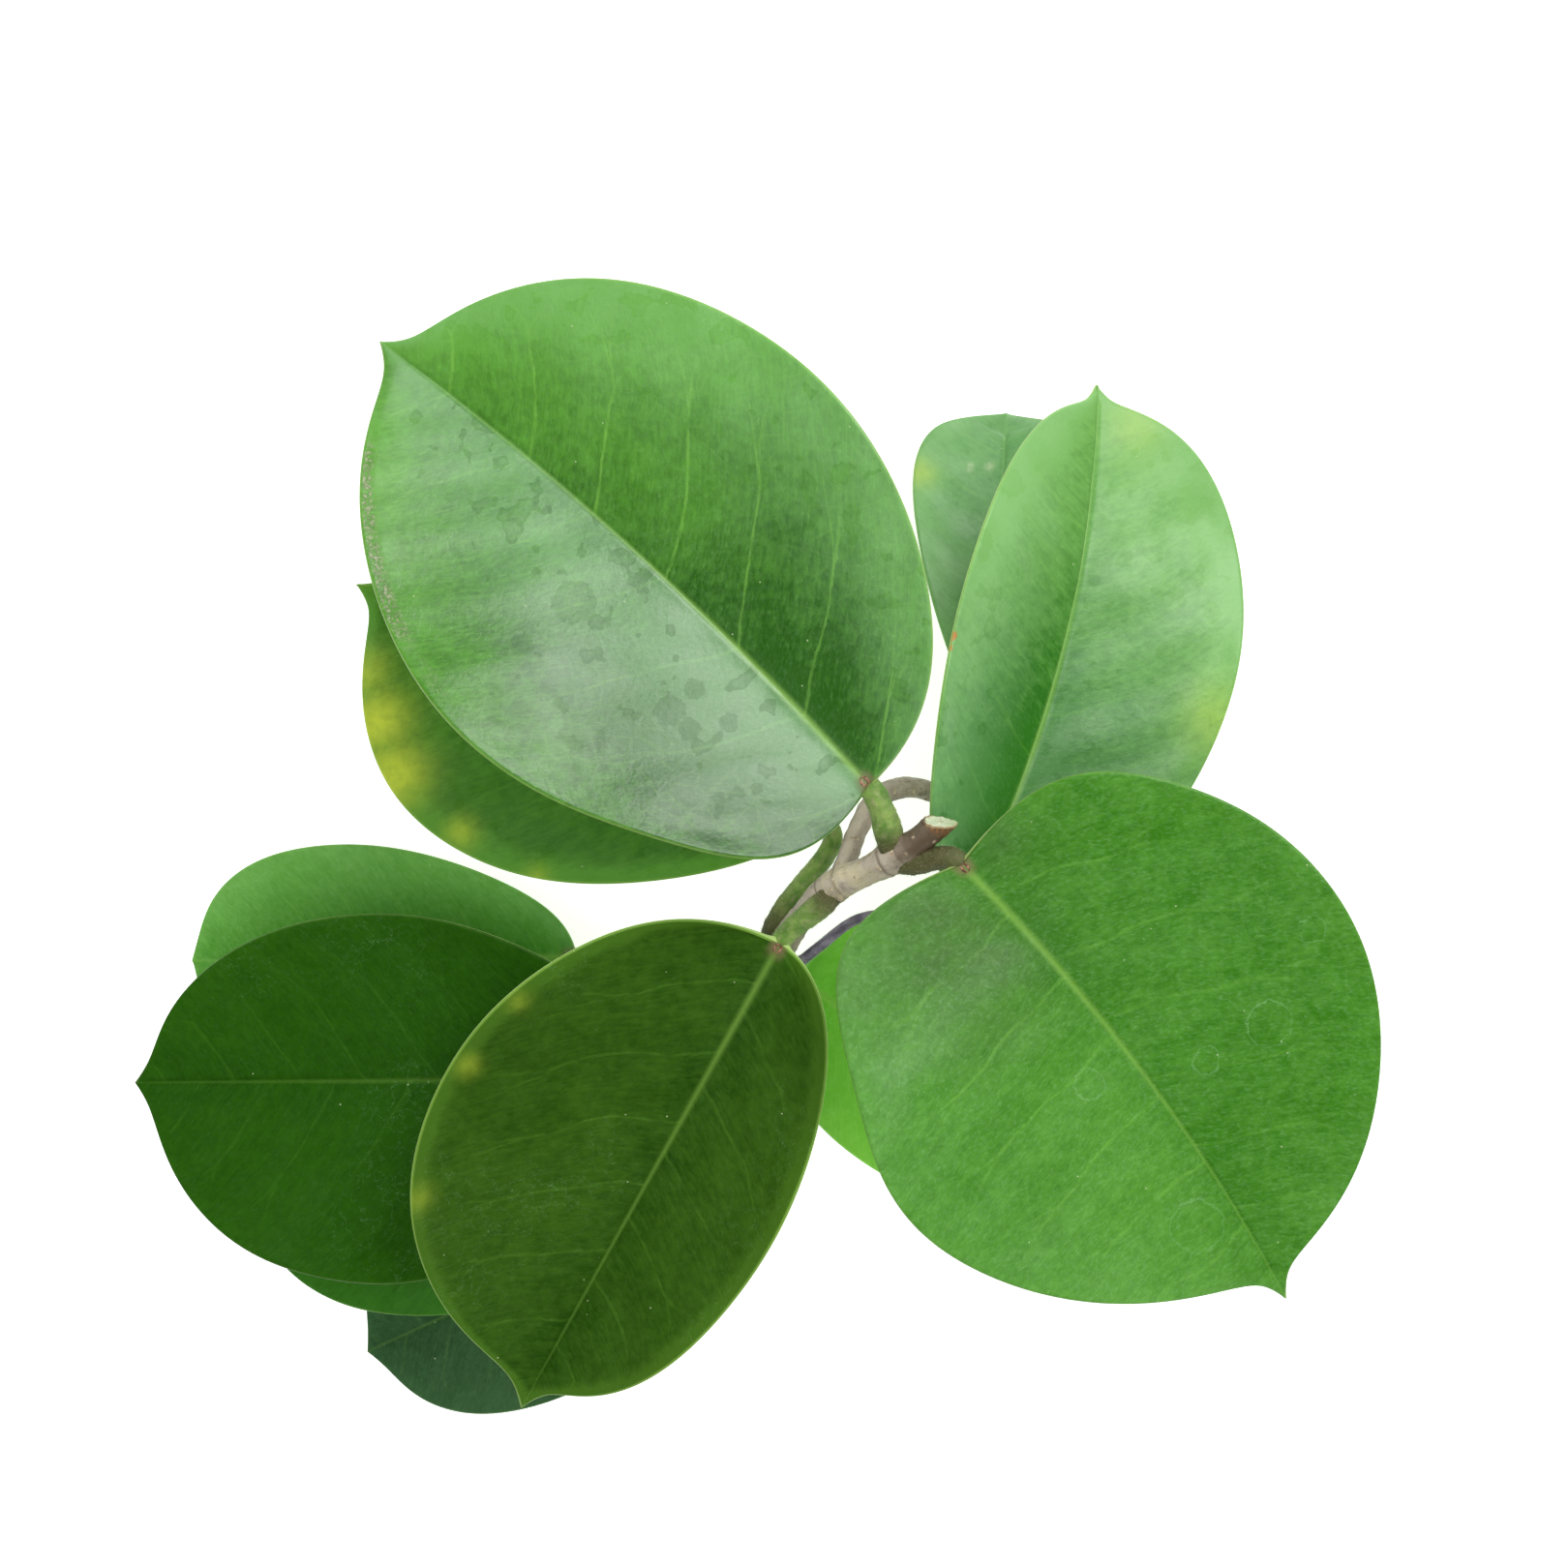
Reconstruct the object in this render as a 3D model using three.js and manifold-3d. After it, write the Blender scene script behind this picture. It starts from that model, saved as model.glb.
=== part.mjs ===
// Hoya australis: a cut length of vine with eleven leaves, laid on a table.
// Millimetres, +Z up. The cut end points to +X and the leaves face up.

import * as THREE from 'three';
import { mergeVertices } from 'three/addons/utils/BufferGeometryUtils.js';
import Module from 'manifold-3d';

const wasm = await Module();
wasm.setup();

// Places below are measured from a point near the first node. This moves the middle of the
// whole spray's box to the origin.
const PLAN_TO_ORIGIN = [6.075, 12, 0];

// Gap between a petiole and the node that it grows from, so that the solids only meet.
const JOINT_GAP = 0.3;

// An edge shorter than this is drawn together after solids are joined.
const SHORTEST_EDGE = 0.07;

// Blade thickness at the midrib and at the margin, and the rib's depth under the blade.
const BLADE_MIDDLE = 1.3;
const BLADE_MARGIN = 0.8;
const RIB_DEPTH = 0.9;
const MIDRIB_GROOVE = 0.15;

// How softly the oval gives way to the drip tip, as a share of the length, and how blunt the tip
// is, as a share of its own length.
const DRIP_TIP_SOFT = 0.02;
const DRIP_TIP_BLUNT = 0.75;

// How far along a blade its rows still slant back to its shoulders, as a share of its length, and
// how far the right margin's waves run ahead of the left one's, in radians.
const SHOULDER_OVER = 0.13;
const RIGHT_WAVE_AHEAD = 2;

// Rows along a blade, and where its columns lie between the midrib and the margin.
const BLADE_ROWS = 14;
const HALF_COLUMNS = [0.05, 0.2, 0.42, 0.64, 0.84, 1];

// Half the span over which a blade's normal is taken, along it and across it, and how near to
// its ends.
const NORMAL_ALONG = 0.01;
const NORMAL_ACROSS = 0.03;
const NORMAL_INSET = 0.03;

// A petiole widens at its foot. Beyond the blade's base it runs on as a rib that thins out:
// how far along the blade, how deep at the base and halfway as a share of the petiole's radius,
// its end, and where it starts to thin as a share of the petiole's length.
const PETIOLE_FOOT = { wider: 0.2, over: 0.25 };
const PETIOLE_STEPS = 10;
const RIB_ALONG = [0, 0.12, 0.24];
const RIB_SUNK = [0.75, 0.7];
const RIB_END = { sunk: 0.75, radius: 0.5 };
const RIB_THINS_FROM = 0.8;

// Sides of a petiole and of the woody stem, and the step between the stem's rings.
const PETIOLE_SIDES = 8;
const STEM_SIDES = 12;
const STEM_STEP = 2.5;
const BUD_SEGMENTS = [7, 5];

// The woody stem from the slanting cut to the growing tip: place and radius.
const STEM = [
  { at: [22.7, -5.5, 51.0], radius: 2.05 },
  { at: [19.6, -8.3, 48.4], radius: 2.1 },
  { at: [16.3, -10.5, 46.0], radius: 2.7 },
  { at: [12.4, -12.7, 43.0], radius: 2.1 },
  { at: [7.4, -15.2, 39.5], radius: 2.5 },
  { at: [2.8, -19.6, 34.5], radius: 1.9 },
  { at: [-1.4, -25.4, 29.5], radius: 2.3 },
  { at: [-8.2, -31.4, 25.0], radius: 1.6 },
  { at: [-14.8, -38.2, 22.0], radius: 2.0 },
  { at: [-19.2, -44.0, 20.0], radius: 1.4 },
  { at: [-22.6, -50.2, 18.0], radius: 1.8 },
  { at: [-24.0, -55.8, 17.0], radius: 1.1 },
  { at: [-23.8, -61.0, 16.0], radius: 1.4 },
  { at: [-23.2, -64.5, 15.6], radius: 0.5 },
];
// Which way the fresh cut faces.
const CUT_FACES = [0, 0.93, 0.37];

// The side branch leaves the stem's second node, bends over and runs back past the cut.
const BRANCH = [
  { at: [7.4, -15.2, 39.5], radius: 1.5 },
  { at: [9.2, -11.5, 38.2], radius: 1.5 },
  { at: [10.9, -6.9, 37.0], radius: 1.55 },
  { at: [13.7, -2.2, 35.5], radius: 1.6 },
  { at: [17.6, -0.6, 33.5], radius: 1.6 },
  { at: [21.2, -0.9, 31.5], radius: 1.55 },
  { at: [25.0, -2.6, 29.0], radius: 1.5 },
  { at: [28.1, -5.8, 27.0], radius: 2.0 },
  { at: [29.3, -7.6, 26.4], radius: 0.9 },
];

// The young purple shoot from the third node.
const SHOOT = [
  { at: [-1.4, -25.4, 29.5], radius: 0.85 },
  { at: [0.7, -27.1, 31.7], radius: 0.85 },
  { at: [2.6, -26.3, 32.6], radius: 0.8 },
  { at: [5.3, -24.2, 33.2], radius: 0.8 },
  { at: [10.8, -20.2, 33.6], radius: 0.75 },
  { at: [17.0, -19.4, 33.2], radius: 0.65 },
  { at: [23.0, -21.4, 32.6], radius: 0.6 },
  { at: [26.6, -23.4, 32.8], radius: 0.35 },
];

// Dormant buds in the leaf axils, the scar where the fourth node lost a leaf, and the growing
// tip: place, the way each points as a plan angle and an elevation, length and radius.
const BUDS = [
  { at: STEM[2].at, out: [75, 45], length: 4.2, radius: 1.3 },
  { at: STEM[4].at, out: [-60, 50], length: 3.8, radius: 1.1 },
  { at: STEM[6].at, out: [150, 60], length: 3.4, radius: 1.0 },
  { at: STEM[8].at, out: [-35, 5], length: 2.8, radius: 1.3 },
  { at: STEM[13].at, out: [-75, -10], length: 2.6, radius: 0.8 },
  { at: BRANCH[8].at, out: [-50, -20], length: 2.4, radius: 1.0 },
];

// Nodes of the stems, where petioles and the young shoot join.
const NODES = {
  first: STEM[2].at,
  second: STEM[4].at,
  third: STEM[6].at,
  fourth: STEM[8].at,
  fifth: STEM[10].at,
  sixth: STEM[12].at,
  side: BRANCH[7].at,
};

// Each leaf. node and out: the node it grows from and the way its petiole leaves, as a plan angle
// and an elevation. base: where petiole and blade meet. heading, pitch: the midrib's way there.
// sweep, arch: how far the midrib has turned left and up by its tip. length: along the midrib.
// left, right: half widths. widest: where, as a share of the length. taper: 1 for an oval, more
// for narrower ends. tip: length of the drip tip. lobes: how steeply the rows slant back to the
// left and right shoulders. fold: rise of the left and right half. curl: its change to the margin.
// wave, waves, phase: height, number and start of the margin's waves. petiole: its radius. Angles
// are in degrees.
const LEAVES = {
  leaf_1_left: {
    node: 'first', out: [112, 20], base: [12.2, -0.2, 50.5], heading: 132, pitch: -2, sweep: 11.3,
    arch: -8, length: 98, left: 38.4, right: 37.6, widest: 0.49, taper: 1.16, tip: 4.5,
    lobes: [0.38, 0.1], fold: [14, 14], curl: 6, wave: 0.8, waves: 2.5, phase: 0, petiole: 1.9,
    colour: 0x4f8f3a,
  },
  leaf_1_right: {
    node: 'first', out: [-42, 5], base: [25.8, -11.7, 50.5], heading: -44.6, pitch: -6, sweep: -16.7,
    arch: -6, length: 82, left: 38.4, right: 40.8, widest: 0.44, taper: 1.1, tip: 5,
    lobes: [0.19, 0.5], fold: [8, 8], curl: 4, wave: 0.8, waves: 2.2, phase: 1, petiole: 1.8,
    colour: 0x4c8c34,
  },
  leaf_2_left: {
    node: 'second', out: [-110, 22], base: [-0.6, -23.7, 37.5], heading: -119, pitch: -6, sweep: 0,
    arch: -8, length: 82, left: 22, right: 36.5, widest: 0.5, taper: 1.0, tip: 5,
    lobes: [0.04, 0.04], fold: [12, 12], curl: 20, wave: 0.8, waves: 2.4, phase: 2, petiole: 1.7,
    colour: 0x33691e,
  },
  leaf_3_left: {
    node: 'third', out: [120, 10], base: [5.8, -5.8, 29.5], heading: 153, pitch: -14, sweep: 0,
    arch: -4, length: 84, left: 29.5, right: 28, widest: 0.58, taper: 1.4, tip: 5,
    lobes: [0.04, 0.04], fold: [10, 10], curl: 6, wave: 0.8, waves: 2.3, phase: 4, petiole: 1.6,
    colour: 0x3c7a2c,
  },
  leaf_3_right: {
    node: 'third', out: [-60, -10], base: [2.0, -29.5, 22.8], heading: -34, pitch: -22, sweep: 0,
    arch: 0, length: 62, left: 20, right: 18, widest: 0.45, taper: 0.9, tip: 4,
    lobes: [0.2, 0.2], fold: [8, 8], curl: 0, wave: 0.6, waves: 2.1, phase: 5, petiole: 1.4,
    colour: 0x5aa63c,
  },
  leaf_4_left: {
    node: 'fourth', out: [150, -5], base: [-31.9, -26.5, 14.2], heading: 181, pitch: -11.5, sweep: 0,
    arch: -4, length: 62, left: 20, right: 18, widest: 0.6, taper: 1.0, tip: 1.5,
    lobes: [0.15, 0.15], fold: [6, 6], curl: 4, wave: 0.6, waves: 2.2, phase: 1.5, petiole: 1.4,
    colour: 0x57963a,
  },
  leaf_5_left: {
    node: 'fifth', out: [130, 15], base: [-25.2, -44.4, 23.5], heading: 181, pitch: -5, sweep: 0,
    arch: -6, length: 75, left: 31, right: 26, widest: 0.5, taper: 1.0, tip: 3,
    lobes: [0.2, 0.2], fold: [10, 10], curl: 4, wave: 0.8, waves: 2.4, phase: 2.5, petiole: 1.5,
    colour: 0x2f6421,
  },
  leaf_5_right: {
    node: 'fifth', out: [-25, -20], base: [-16.4, -65.8, 6.9], heading: 205, pitch: -6, sweep: 0,
    arch: -2, length: 54, left: 19, right: 18, widest: 0.52, taper: 0.9, tip: 2,
    lobes: [0.2, 0.2], fold: [6, 6], curl: 2, wave: 0.6, waves: 2.1, phase: 3.5, petiole: 1.3,
    colour: 0x2f5c33,
  },
  leaf_6_end: {
    node: 'sixth', out: [200, -10], base: [-29.5, -64.0, 12.5], heading: 182, pitch: -6, sweep: 0,
    arch: -4, length: 55, left: 17, right: 14, widest: 0.5, taper: 0.95, tip: 3,
    lobes: [0.2, 0.2], fold: [5, 5], curl: 2, wave: 0.6, waves: 2.2, phase: 4.5, petiole: 1.2,
    colour: 0x4c8c34,
  },
  leaf_side_left: {
    node: 'side', out: [75, -15], base: [30.8, 2.9, 20.8], heading: 86, pitch: -20, sweep: 0,
    arch: -3, length: 59, left: 14, right: 20, widest: 0.8, taper: 1.35, tip: 1.5,
    lobes: [0.05, 0.05], fold: [5, 5], curl: 4, wave: 0.5, waves: 2.1, phase: 5.5, petiole: 1.25,
    colour: 0x55923c,
  },
  leaf_side_right: {
    node: 'side', out: [-135, 25], base: [27.2, -16.5, 37.0], heading: 62, pitch: -3, sweep: 27,
    arch: -6, length: 80, left: 21.5, right: 26.5, widest: 0.53, taper: 0.98, tip: 3,
    lobes: [0.2, 0.2], fold: [34, -8], curl: 6, wave: 1.0, waves: 2.6, phase: 3, petiole: 1.7,
    colour: 0x4a8a3c,
  },
};

const BARK = { color: 0x8d8573, roughness: 0.85, metalness: 0 };
const SHOOT_SKIN = { color: 0x6b5560, roughness: 0.6, metalness: 0 };
const LEAF_GLOSS = { roughness: 0.4, metalness: 0 };

const radians = THREE.MathUtils.degToRad;
const smoothstep = (x) => THREE.MathUtils.smoothstep(x, 0, 1);

// A unit vector from a plan angle and an elevation.
function direction(plan, elevation) {
  const level = Math.cos(radians(elevation));
  return new THREE.Vector3(
    level * Math.cos(radians(plan)),
    level * Math.sin(radians(plan)),
    Math.sin(radians(elevation)),
  );
}

// Half width of one side of a blade at a distance along its midrib.
function halfWidth(leaf, along, full) {
  const { length, tip, widest, taper } = leaf;
  const x = along / (length - tip);
  const ahead = (1 - x + Math.hypot(1 - x, DRIP_TIP_SOFT)) / 2;
  const rise = Math.pow(x / widest, widest * taper);
  const fall = Math.pow(ahead / (1 - widest), (1 - widest) * taper);
  return full * rise * fall * Math.tanh((length - along) / (DRIP_TIP_BLUNT * tip));
}

// Bends the first number of a pair round towards the second, through an angle over a length.
function bend(x, h, angle, length) {
  if (Math.abs(angle) < 1e-6) return [x, h];
  const radius = length / angle;
  const turn = x / radius;
  return [(radius - h) * Math.sin(turn), radius - (radius - h) * Math.cos(turn)];
}

// Turns a pair of numbers through an angle.
function turn(x, y, angle) {
  return [x * Math.cos(angle) - y * Math.sin(angle), x * Math.sin(angle) + y * Math.cos(angle)];
}

// A point of the blade's middle surface: t runs from base to tip, v from -1 (right) to 1 (left).
function bladePoint(leaf, t, v) {
  const along = leaf.length * (1 - Math.cos(Math.PI * t)) / 2;
  const out = Math.abs(v);
  const side = Math.sign(v);
  const half = v < 0 ? 1 : 0;
  const width = halfWidth(leaf, along, v < 0 ? leaf.right : leaf.left);
  const rise = radians(leaf.fold[half]) + radians(leaf.curl) * out / 2;
  const ahead = leaf.phase + half * RIGHT_WAVE_AHEAD;
  const wave = Math.sin(2 * Math.PI * leaf.waves * along / leaf.length + ahead);
  const slant = leaf.lobes[half] * Math.exp(-Math.pow(along / (SHOULDER_OVER * leaf.length), 2));
  let x = along - slant * width * out;
  let y = side * width * out * Math.cos(rise);
  let z = width * out * Math.sin(rise) + leaf.wave * out * out * wave * Math.sin(Math.PI * t);
  [x, y] = bend(x, y, radians(leaf.sweep), leaf.length);
  [x, z] = bend(x, z, radians(leaf.arch), leaf.length);
  [x, z] = turn(x, z, radians(leaf.pitch));
  [x, y] = turn(x, y, radians(leaf.heading));
  return new THREE.Vector3(x, y, z).add(new THREE.Vector3(...leaf.base));
}

// The blade's normal. It is the same all across the midrib.
function bladeNormal(leaf, t, v) {
  const inner = THREE.MathUtils.clamp(t, NORMAL_INSET, 1 - NORMAL_INSET);
  const place = Math.abs(v) <= HALF_COLUMNS[0] ? 0 : v;
  const ahead = bladePoint(leaf, inner + NORMAL_ALONG, place);
  ahead.sub(bladePoint(leaf, inner - NORMAL_ALONG, place));
  const across = bladePoint(leaf, inner, Math.min(place + NORMAL_ACROSS, 1));
  across.sub(bladePoint(leaf, inner, Math.max(place - NORMAL_ACROSS, -1)));
  return ahead.cross(across).normalize();
}

// How far the upper and lower faces stand off the middle surface.
function bladeFaces(leaf, t, v) {
  const out = Math.abs(v);
  const half = (BLADE_MARGIN + (BLADE_MIDDLE - BLADE_MARGIN) * (1 - out)) / 2;
  const middle = v === 0 ? 1 : 0;
  const groove = MIDRIB_GROOVE * middle * Math.sin(Math.PI * t);
  return { top: half - groove, bottom: -half - RIB_DEPTH * middle * (1 - t) };
}

// A point on the upper or the lower face, never below the table.
function facePoint(leaf, t, v, face) {
  const offset = bladeFaces(leaf, t, v)[face];
  const point = bladePoint(leaf, t, v).addScaledVector(bladeNormal(leaf, t, v), offset);
  point.z = Math.max(point.z, face === 'top' ? BLADE_MARGIN : 0);
  return point;
}

// The closed blade: the same net of triangles on both faces, joined round the margin.
function bladeSolid(leaf) {
  const columns = [...HALF_COLUMNS.map((v) => -v).reverse(), 0, ...HALF_COLUMNS];
  const points = [];
  const faces = [];
  const grid = {};
  for (const face of ['top', 'bottom']) {
    grid[face] = [];
    for (let row = 0; row <= BLADE_ROWS; row++) {
      const atEnd = row === 0 || row === BLADE_ROWS;
      const t = row / BLADE_ROWS;
      const across = atEnd ? [0] : columns;
      const numbers = across.map((v) => points.push(facePoint(leaf, t, v, face)) - 1);
      grid[face].push(atEnd ? columns.map(() => numbers[0]) : numbers);
    }
  }
  const add = (a, b, c) => {
    if (a !== b && b !== c && c !== a) faces.push([a, b, c]);
  };
  const quad = (a, b, c, d) => {
    add(a, b, c);
    add(a, c, d);
  };
  const last = columns.length - 1;
  for (let row = 0; row < BLADE_ROWS; row++) {
    const [near, far] = [grid.top[row], grid.top[row + 1]];
    const [under, beyond] = [grid.bottom[row], grid.bottom[row + 1]];
    for (let i = 0; i < last; i++) {
      quad(near[i], far[i], far[i + 1], near[i + 1]);
      faces.push(...mirrored(under[i], beyond[i], beyond[i + 1], under[i + 1]));
    }
    quad(near[0], under[0], beyond[0], far[0]);
    quad(far[last], beyond[last], under[last], near[last]);
  }
  return solid(points, faces);
}

// The two triangles of a quad turned over, on the same diagonal, without empty ones.
function mirrored(a, b, c, d) {
  return [[a, c, b], [a, d, c]].filter(([p, q, r]) => p !== q && q !== r && r !== p);
}

// A closed tube with rings of its own radius at each point, and flat ends.
function tubeSolid(curve, radiusAt, steps, sides, cut) {
  const frames = curve.computeFrenetFrames(steps, false);
  const points = [];
  const faces = [];
  for (let i = 0; i <= steps; i++) {
    const centre = curve.getPointAt(i / steps);
    const radius = radiusAt(i / steps);
    for (let j = 0; j < sides; j++) {
      const angle = 2 * Math.PI * j / sides;
      const point = centre.clone();
      point.addScaledVector(frames.normals[i], radius * Math.cos(angle));
      point.addScaledVector(frames.binormals[i], radius * Math.sin(angle));
      if (i === 0 && cut) slideToPlane(point, centre, frames.tangents[0], cut);
      points.push(point);
    }
  }
  for (let i = 0; i < steps; i++) {
    for (let j = 0; j < sides; j++) {
      const [a, b] = [i * sides + j, i * sides + (j + 1) % sides];
      faces.push([a, b, b + sides], [a, b + sides, a + sides]);
    }
  }
  const end = steps * sides;
  for (let j = 1; j < sides - 1; j++) {
    faces.push([0, j + 1, j], [end, end + j, end + j + 1]);
  }
  return solid(points, faces);
}

// Slides a point along a tube's direction onto the plane of its slanting end.
function slideToPlane(point, centre, along, faces) {
  const away = point.clone().sub(centre).dot(faces) / along.dot(faces);
  point.addScaledVector(along, -away);
}

// A manifold solid from points and triangles.
function solid(points, faces) {
  return new wasm.Manifold(new wasm.Mesh({
    numProp: 3,
    vertProperties: new Float32Array(points.flatMap((p) => p.toArray())),
    triVerts: new Uint32Array(faces.flat()),
  }));
}

// A stem through listed places, its radius eased from one place to the next.
function stemSolid(stations, step, sides, grown = 0, cut = undefined) {
  const curve = new THREE.CatmullRomCurve3(stations.map((s) => new THREE.Vector3(...s.at)));
  curve.curveType = 'centripetal';
  curve.arcLengthDivisions = 400;
  const steps = Math.round(curve.getLength() / step);
  const radiusAt = (u) => {
    const place = curve.getUtoTmapping(u) * (stations.length - 1);
    const i = Math.min(Math.floor(place), stations.length - 2);
    const share = smoothstep(place - i);
    return stations[i].radius * (1 - share) + stations[i + 1].radius * share + grown;
  };
  return tubeSolid(curve, radiusAt, steps, sides, cut);
}

// The petiole from its node to the blade, running on under the midrib as its rib.
function petioleSolid(leaf) {
  const out = direction(...leaf.out);
  const start = new THREE.Vector3(...NODES[leaf.node]);
  const base = bladePoint(leaf, 0, 0);
  const inward = direction(leaf.heading, leaf.pitch);
  const reach = start.distanceTo(base) / 3;
  const sunk = (i, depth) => {
    const along = RIB_ALONG[i];
    return bladePoint(leaf, along, 0).addScaledVector(bladeNormal(leaf, along, 0), -depth);
  };
  const low = sunk(0, leaf.petiole * RIB_SUNK[0]);
  const path = new THREE.CurvePath();
  path.add(new THREE.CubicBezierCurve3(
    start,
    start.clone().addScaledVector(out, reach),
    low.clone().addScaledVector(inward, -reach),
    low,
  ));
  const halfway = sunk(1, leaf.petiole * RIB_SUNK[1]);
  path.add(new THREE.CatmullRomCurve3([low, halfway, sunk(2, RIB_END.sunk)]));
  const thinsFrom = RIB_THINS_FROM * path.curves[0].getLength() / path.getLength();
  const radiusAt = (u) => {
    const share = THREE.MathUtils.smoothstep(u, thinsFrom, 1);
    const foot = THREE.MathUtils.smoothstep(PETIOLE_FOOT.over - u, 0, PETIOLE_FOOT.over);
    return leaf.petiole * (1 + PETIOLE_FOOT.wider * foot) * (1 - share) + RIB_END.radius * share;
  };
  return tubeSolid(path, radiusAt, PETIOLE_STEPS, PETIOLE_SIDES);
}

// Draws the ends of each very short edge together, and drops the faces that this empties.
function withoutSlivers(points, index) {
  const stays = points.map((point, i) => i);
  const cornersOf = (i) => [0, 1, 2].map((j) => stays[index[i + j]]);
  for (let i = 0; i < index.length; i += 3) {
    const corners = cornersOf(i);
    for (let j = 0; j < 3; j++) {
      const [a, b] = [corners[j], corners[(j + 1) % 3]];
      if (a === b || points[a].distanceTo(points[b]) > SHORTEST_EDGE) continue;
      for (let k = 0; k < stays.length; k++) {
        if (stays[k] === b) stays[k] = a;
      }
      break;
    }
  }
  const kept = new Map();
  for (let i = 0; i < index.length; i += 3) {
    const face = cornersOf(i);
    const key = [...face].sort().join();
    if (new Set(face).size < 3) continue;
    if (!kept.delete(key)) kept.set(key, face);
  }
  return [...kept.values()].flat();
}

// A mesh of its own from a manifold solid.
function meshOf(name, body, material) {
  const { vertProperties, triVerts } = body.getMesh();
  const position = new THREE.BufferAttribute(vertProperties, 3);
  const points = [...Array(position.count).keys()].map(
    (i) => new THREE.Vector3().fromBufferAttribute(position, i),
  );
  const indexed = new THREE.BufferGeometry();
  indexed.setAttribute('position', position);
  indexed.setIndex(withoutSlivers(points, triVerts));
  const geometry = indexed.toNonIndexed();
  geometry.computeVertexNormals();
  const mesh = new THREE.Mesh(geometry, new THREE.MeshStandardMaterial(material));
  mesh.name = name;
  return mesh;
}

// A pointed bud, its root sunk in the node.
function budSolid(bud, grown) {
  const shape = new THREE.SphereGeometry(1, ...BUD_SEGMENTS);
  shape.rotateX(Math.PI / 2);
  shape.scale(bud.radius + grown, bud.radius + grown, bud.length + grown);
  const pointing = new THREE.Quaternion();
  pointing.setFromUnitVectors(new THREE.Vector3(0, 0, 1), direction(...bud.out));
  shape.applyQuaternion(pointing);
  shape.translate(...bud.at);
  shape.deleteAttribute('normal');
  shape.deleteAttribute('uv');
  const merged = mergeVertices(shape);
  return new wasm.Manifold(new wasm.Mesh({
    numProp: 3,
    vertProperties: merged.attributes.position.array,
    triVerts: new Uint32Array(merged.index.array),
  }));
}

// The woody stem with its side branch and buds, made wider all round where grown is given.
function vineSolid(grown) {
  const stem = stemSolid(STEM, STEM_STEP, STEM_SIDES, grown, new THREE.Vector3(...CUT_FACES));
  const branched = stem.add(stemSolid(BRANCH, STEM_STEP, STEM_SIDES, grown));
  return BUDS.reduce((vine, bud) => vine.add(budSolid(bud, grown)), branched);
}

const vineAndGap = vineSolid(JOINT_GAP);

function shootMesh() {
  const body = stemSolid(SHOOT, STEM_STEP, PETIOLE_SIDES).subtract(vineAndGap);
  return meshOf('young_shoot', body, SHOOT_SKIN);
}

function leafMesh(name) {
  const leaf = LEAVES[name];
  const body = bladeSolid(leaf).add(petioleSolid(leaf)).subtract(vineAndGap);
  return meshOf(name, body, { color: leaf.colour, ...LEAF_GLOSS });
}

const hoya = new THREE.Group();
hoya.add(meshOf('vine_stem', vineSolid(0), BARK));
hoya.add(shootMesh());
for (const name of Object.keys(LEAVES)) {
  hoya.add(leafMesh(name));
}
hoya.position.set(...PLAN_TO_ORIGIN);

export default hoya;
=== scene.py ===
# %% [markdown]
# # Hoya australis: a cut length of vine
# This lesson dresses the plain solids of a wax vine cutting. It has thick, waxy leaves with drip
# tips, stout petioles, a jointed woody stem with a side branch and a slanting cut, and one thin
# young shoot. Each cell says what a piece is on the plant, how it could be made in Blender, and
# why it is made as it is here.
#
# The shapes are worked out with NumPy from the same measures as the solids, because a leaf is a
# smooth rule of two numbers, and a rule gives clean nets of quads with every measure at hand.

import math

import bpy
import numpy as np
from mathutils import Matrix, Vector


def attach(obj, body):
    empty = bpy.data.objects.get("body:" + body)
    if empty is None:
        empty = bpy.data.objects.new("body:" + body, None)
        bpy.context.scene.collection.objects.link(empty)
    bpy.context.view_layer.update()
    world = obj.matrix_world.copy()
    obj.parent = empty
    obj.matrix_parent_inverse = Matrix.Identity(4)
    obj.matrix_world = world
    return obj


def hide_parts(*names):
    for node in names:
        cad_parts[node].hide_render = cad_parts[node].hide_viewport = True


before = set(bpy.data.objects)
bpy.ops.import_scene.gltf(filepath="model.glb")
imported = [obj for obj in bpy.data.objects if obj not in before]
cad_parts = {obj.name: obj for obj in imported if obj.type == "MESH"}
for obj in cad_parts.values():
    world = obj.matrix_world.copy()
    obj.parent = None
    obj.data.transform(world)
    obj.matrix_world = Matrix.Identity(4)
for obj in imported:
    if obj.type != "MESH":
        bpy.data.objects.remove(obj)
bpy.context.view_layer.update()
print("solids to dress:", len(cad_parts))

# %% [markdown]
# ## Measures
# All measures are millimetres and degrees, measured from a point near the first node. The frame's
# origin lies elsewhere in plan, so one shift and one scale turn them into metres. Every leaf has
# the node that it grows from, the way its petiole leaves, where its blade starts, which way the
# midrib runs and how its halves fold, curl and wave.

# %% Leaves and stems
MM = 0.001
PLAN_TO_ORIGIN = np.array([6.075, 12.0, 0.0])
STEM = np.array([
    [22.7, -5.5, 51.0], [19.6, -8.3, 48.4], [16.3, -10.5, 46.0], [12.4, -12.7, 43.0],
    [7.4, -15.2, 39.5], [2.8, -19.6, 34.5], [-1.4, -25.4, 29.5], [-8.2, -31.4, 25.0],
    [-14.8, -38.2, 22.0], [-19.2, -44.0, 20.0], [-22.6, -50.2, 18.0], [-24.0, -55.8, 17.0],
    [-23.8, -61.0, 16.0], [-23.2, -64.5, 15.6],
])
STEM_RADII = [2.05, 2.1, 2.7, 2.1, 2.5, 1.9, 2.3, 1.6, 2.0, 1.4, 1.8, 1.1, 1.4, 0.5]
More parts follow.
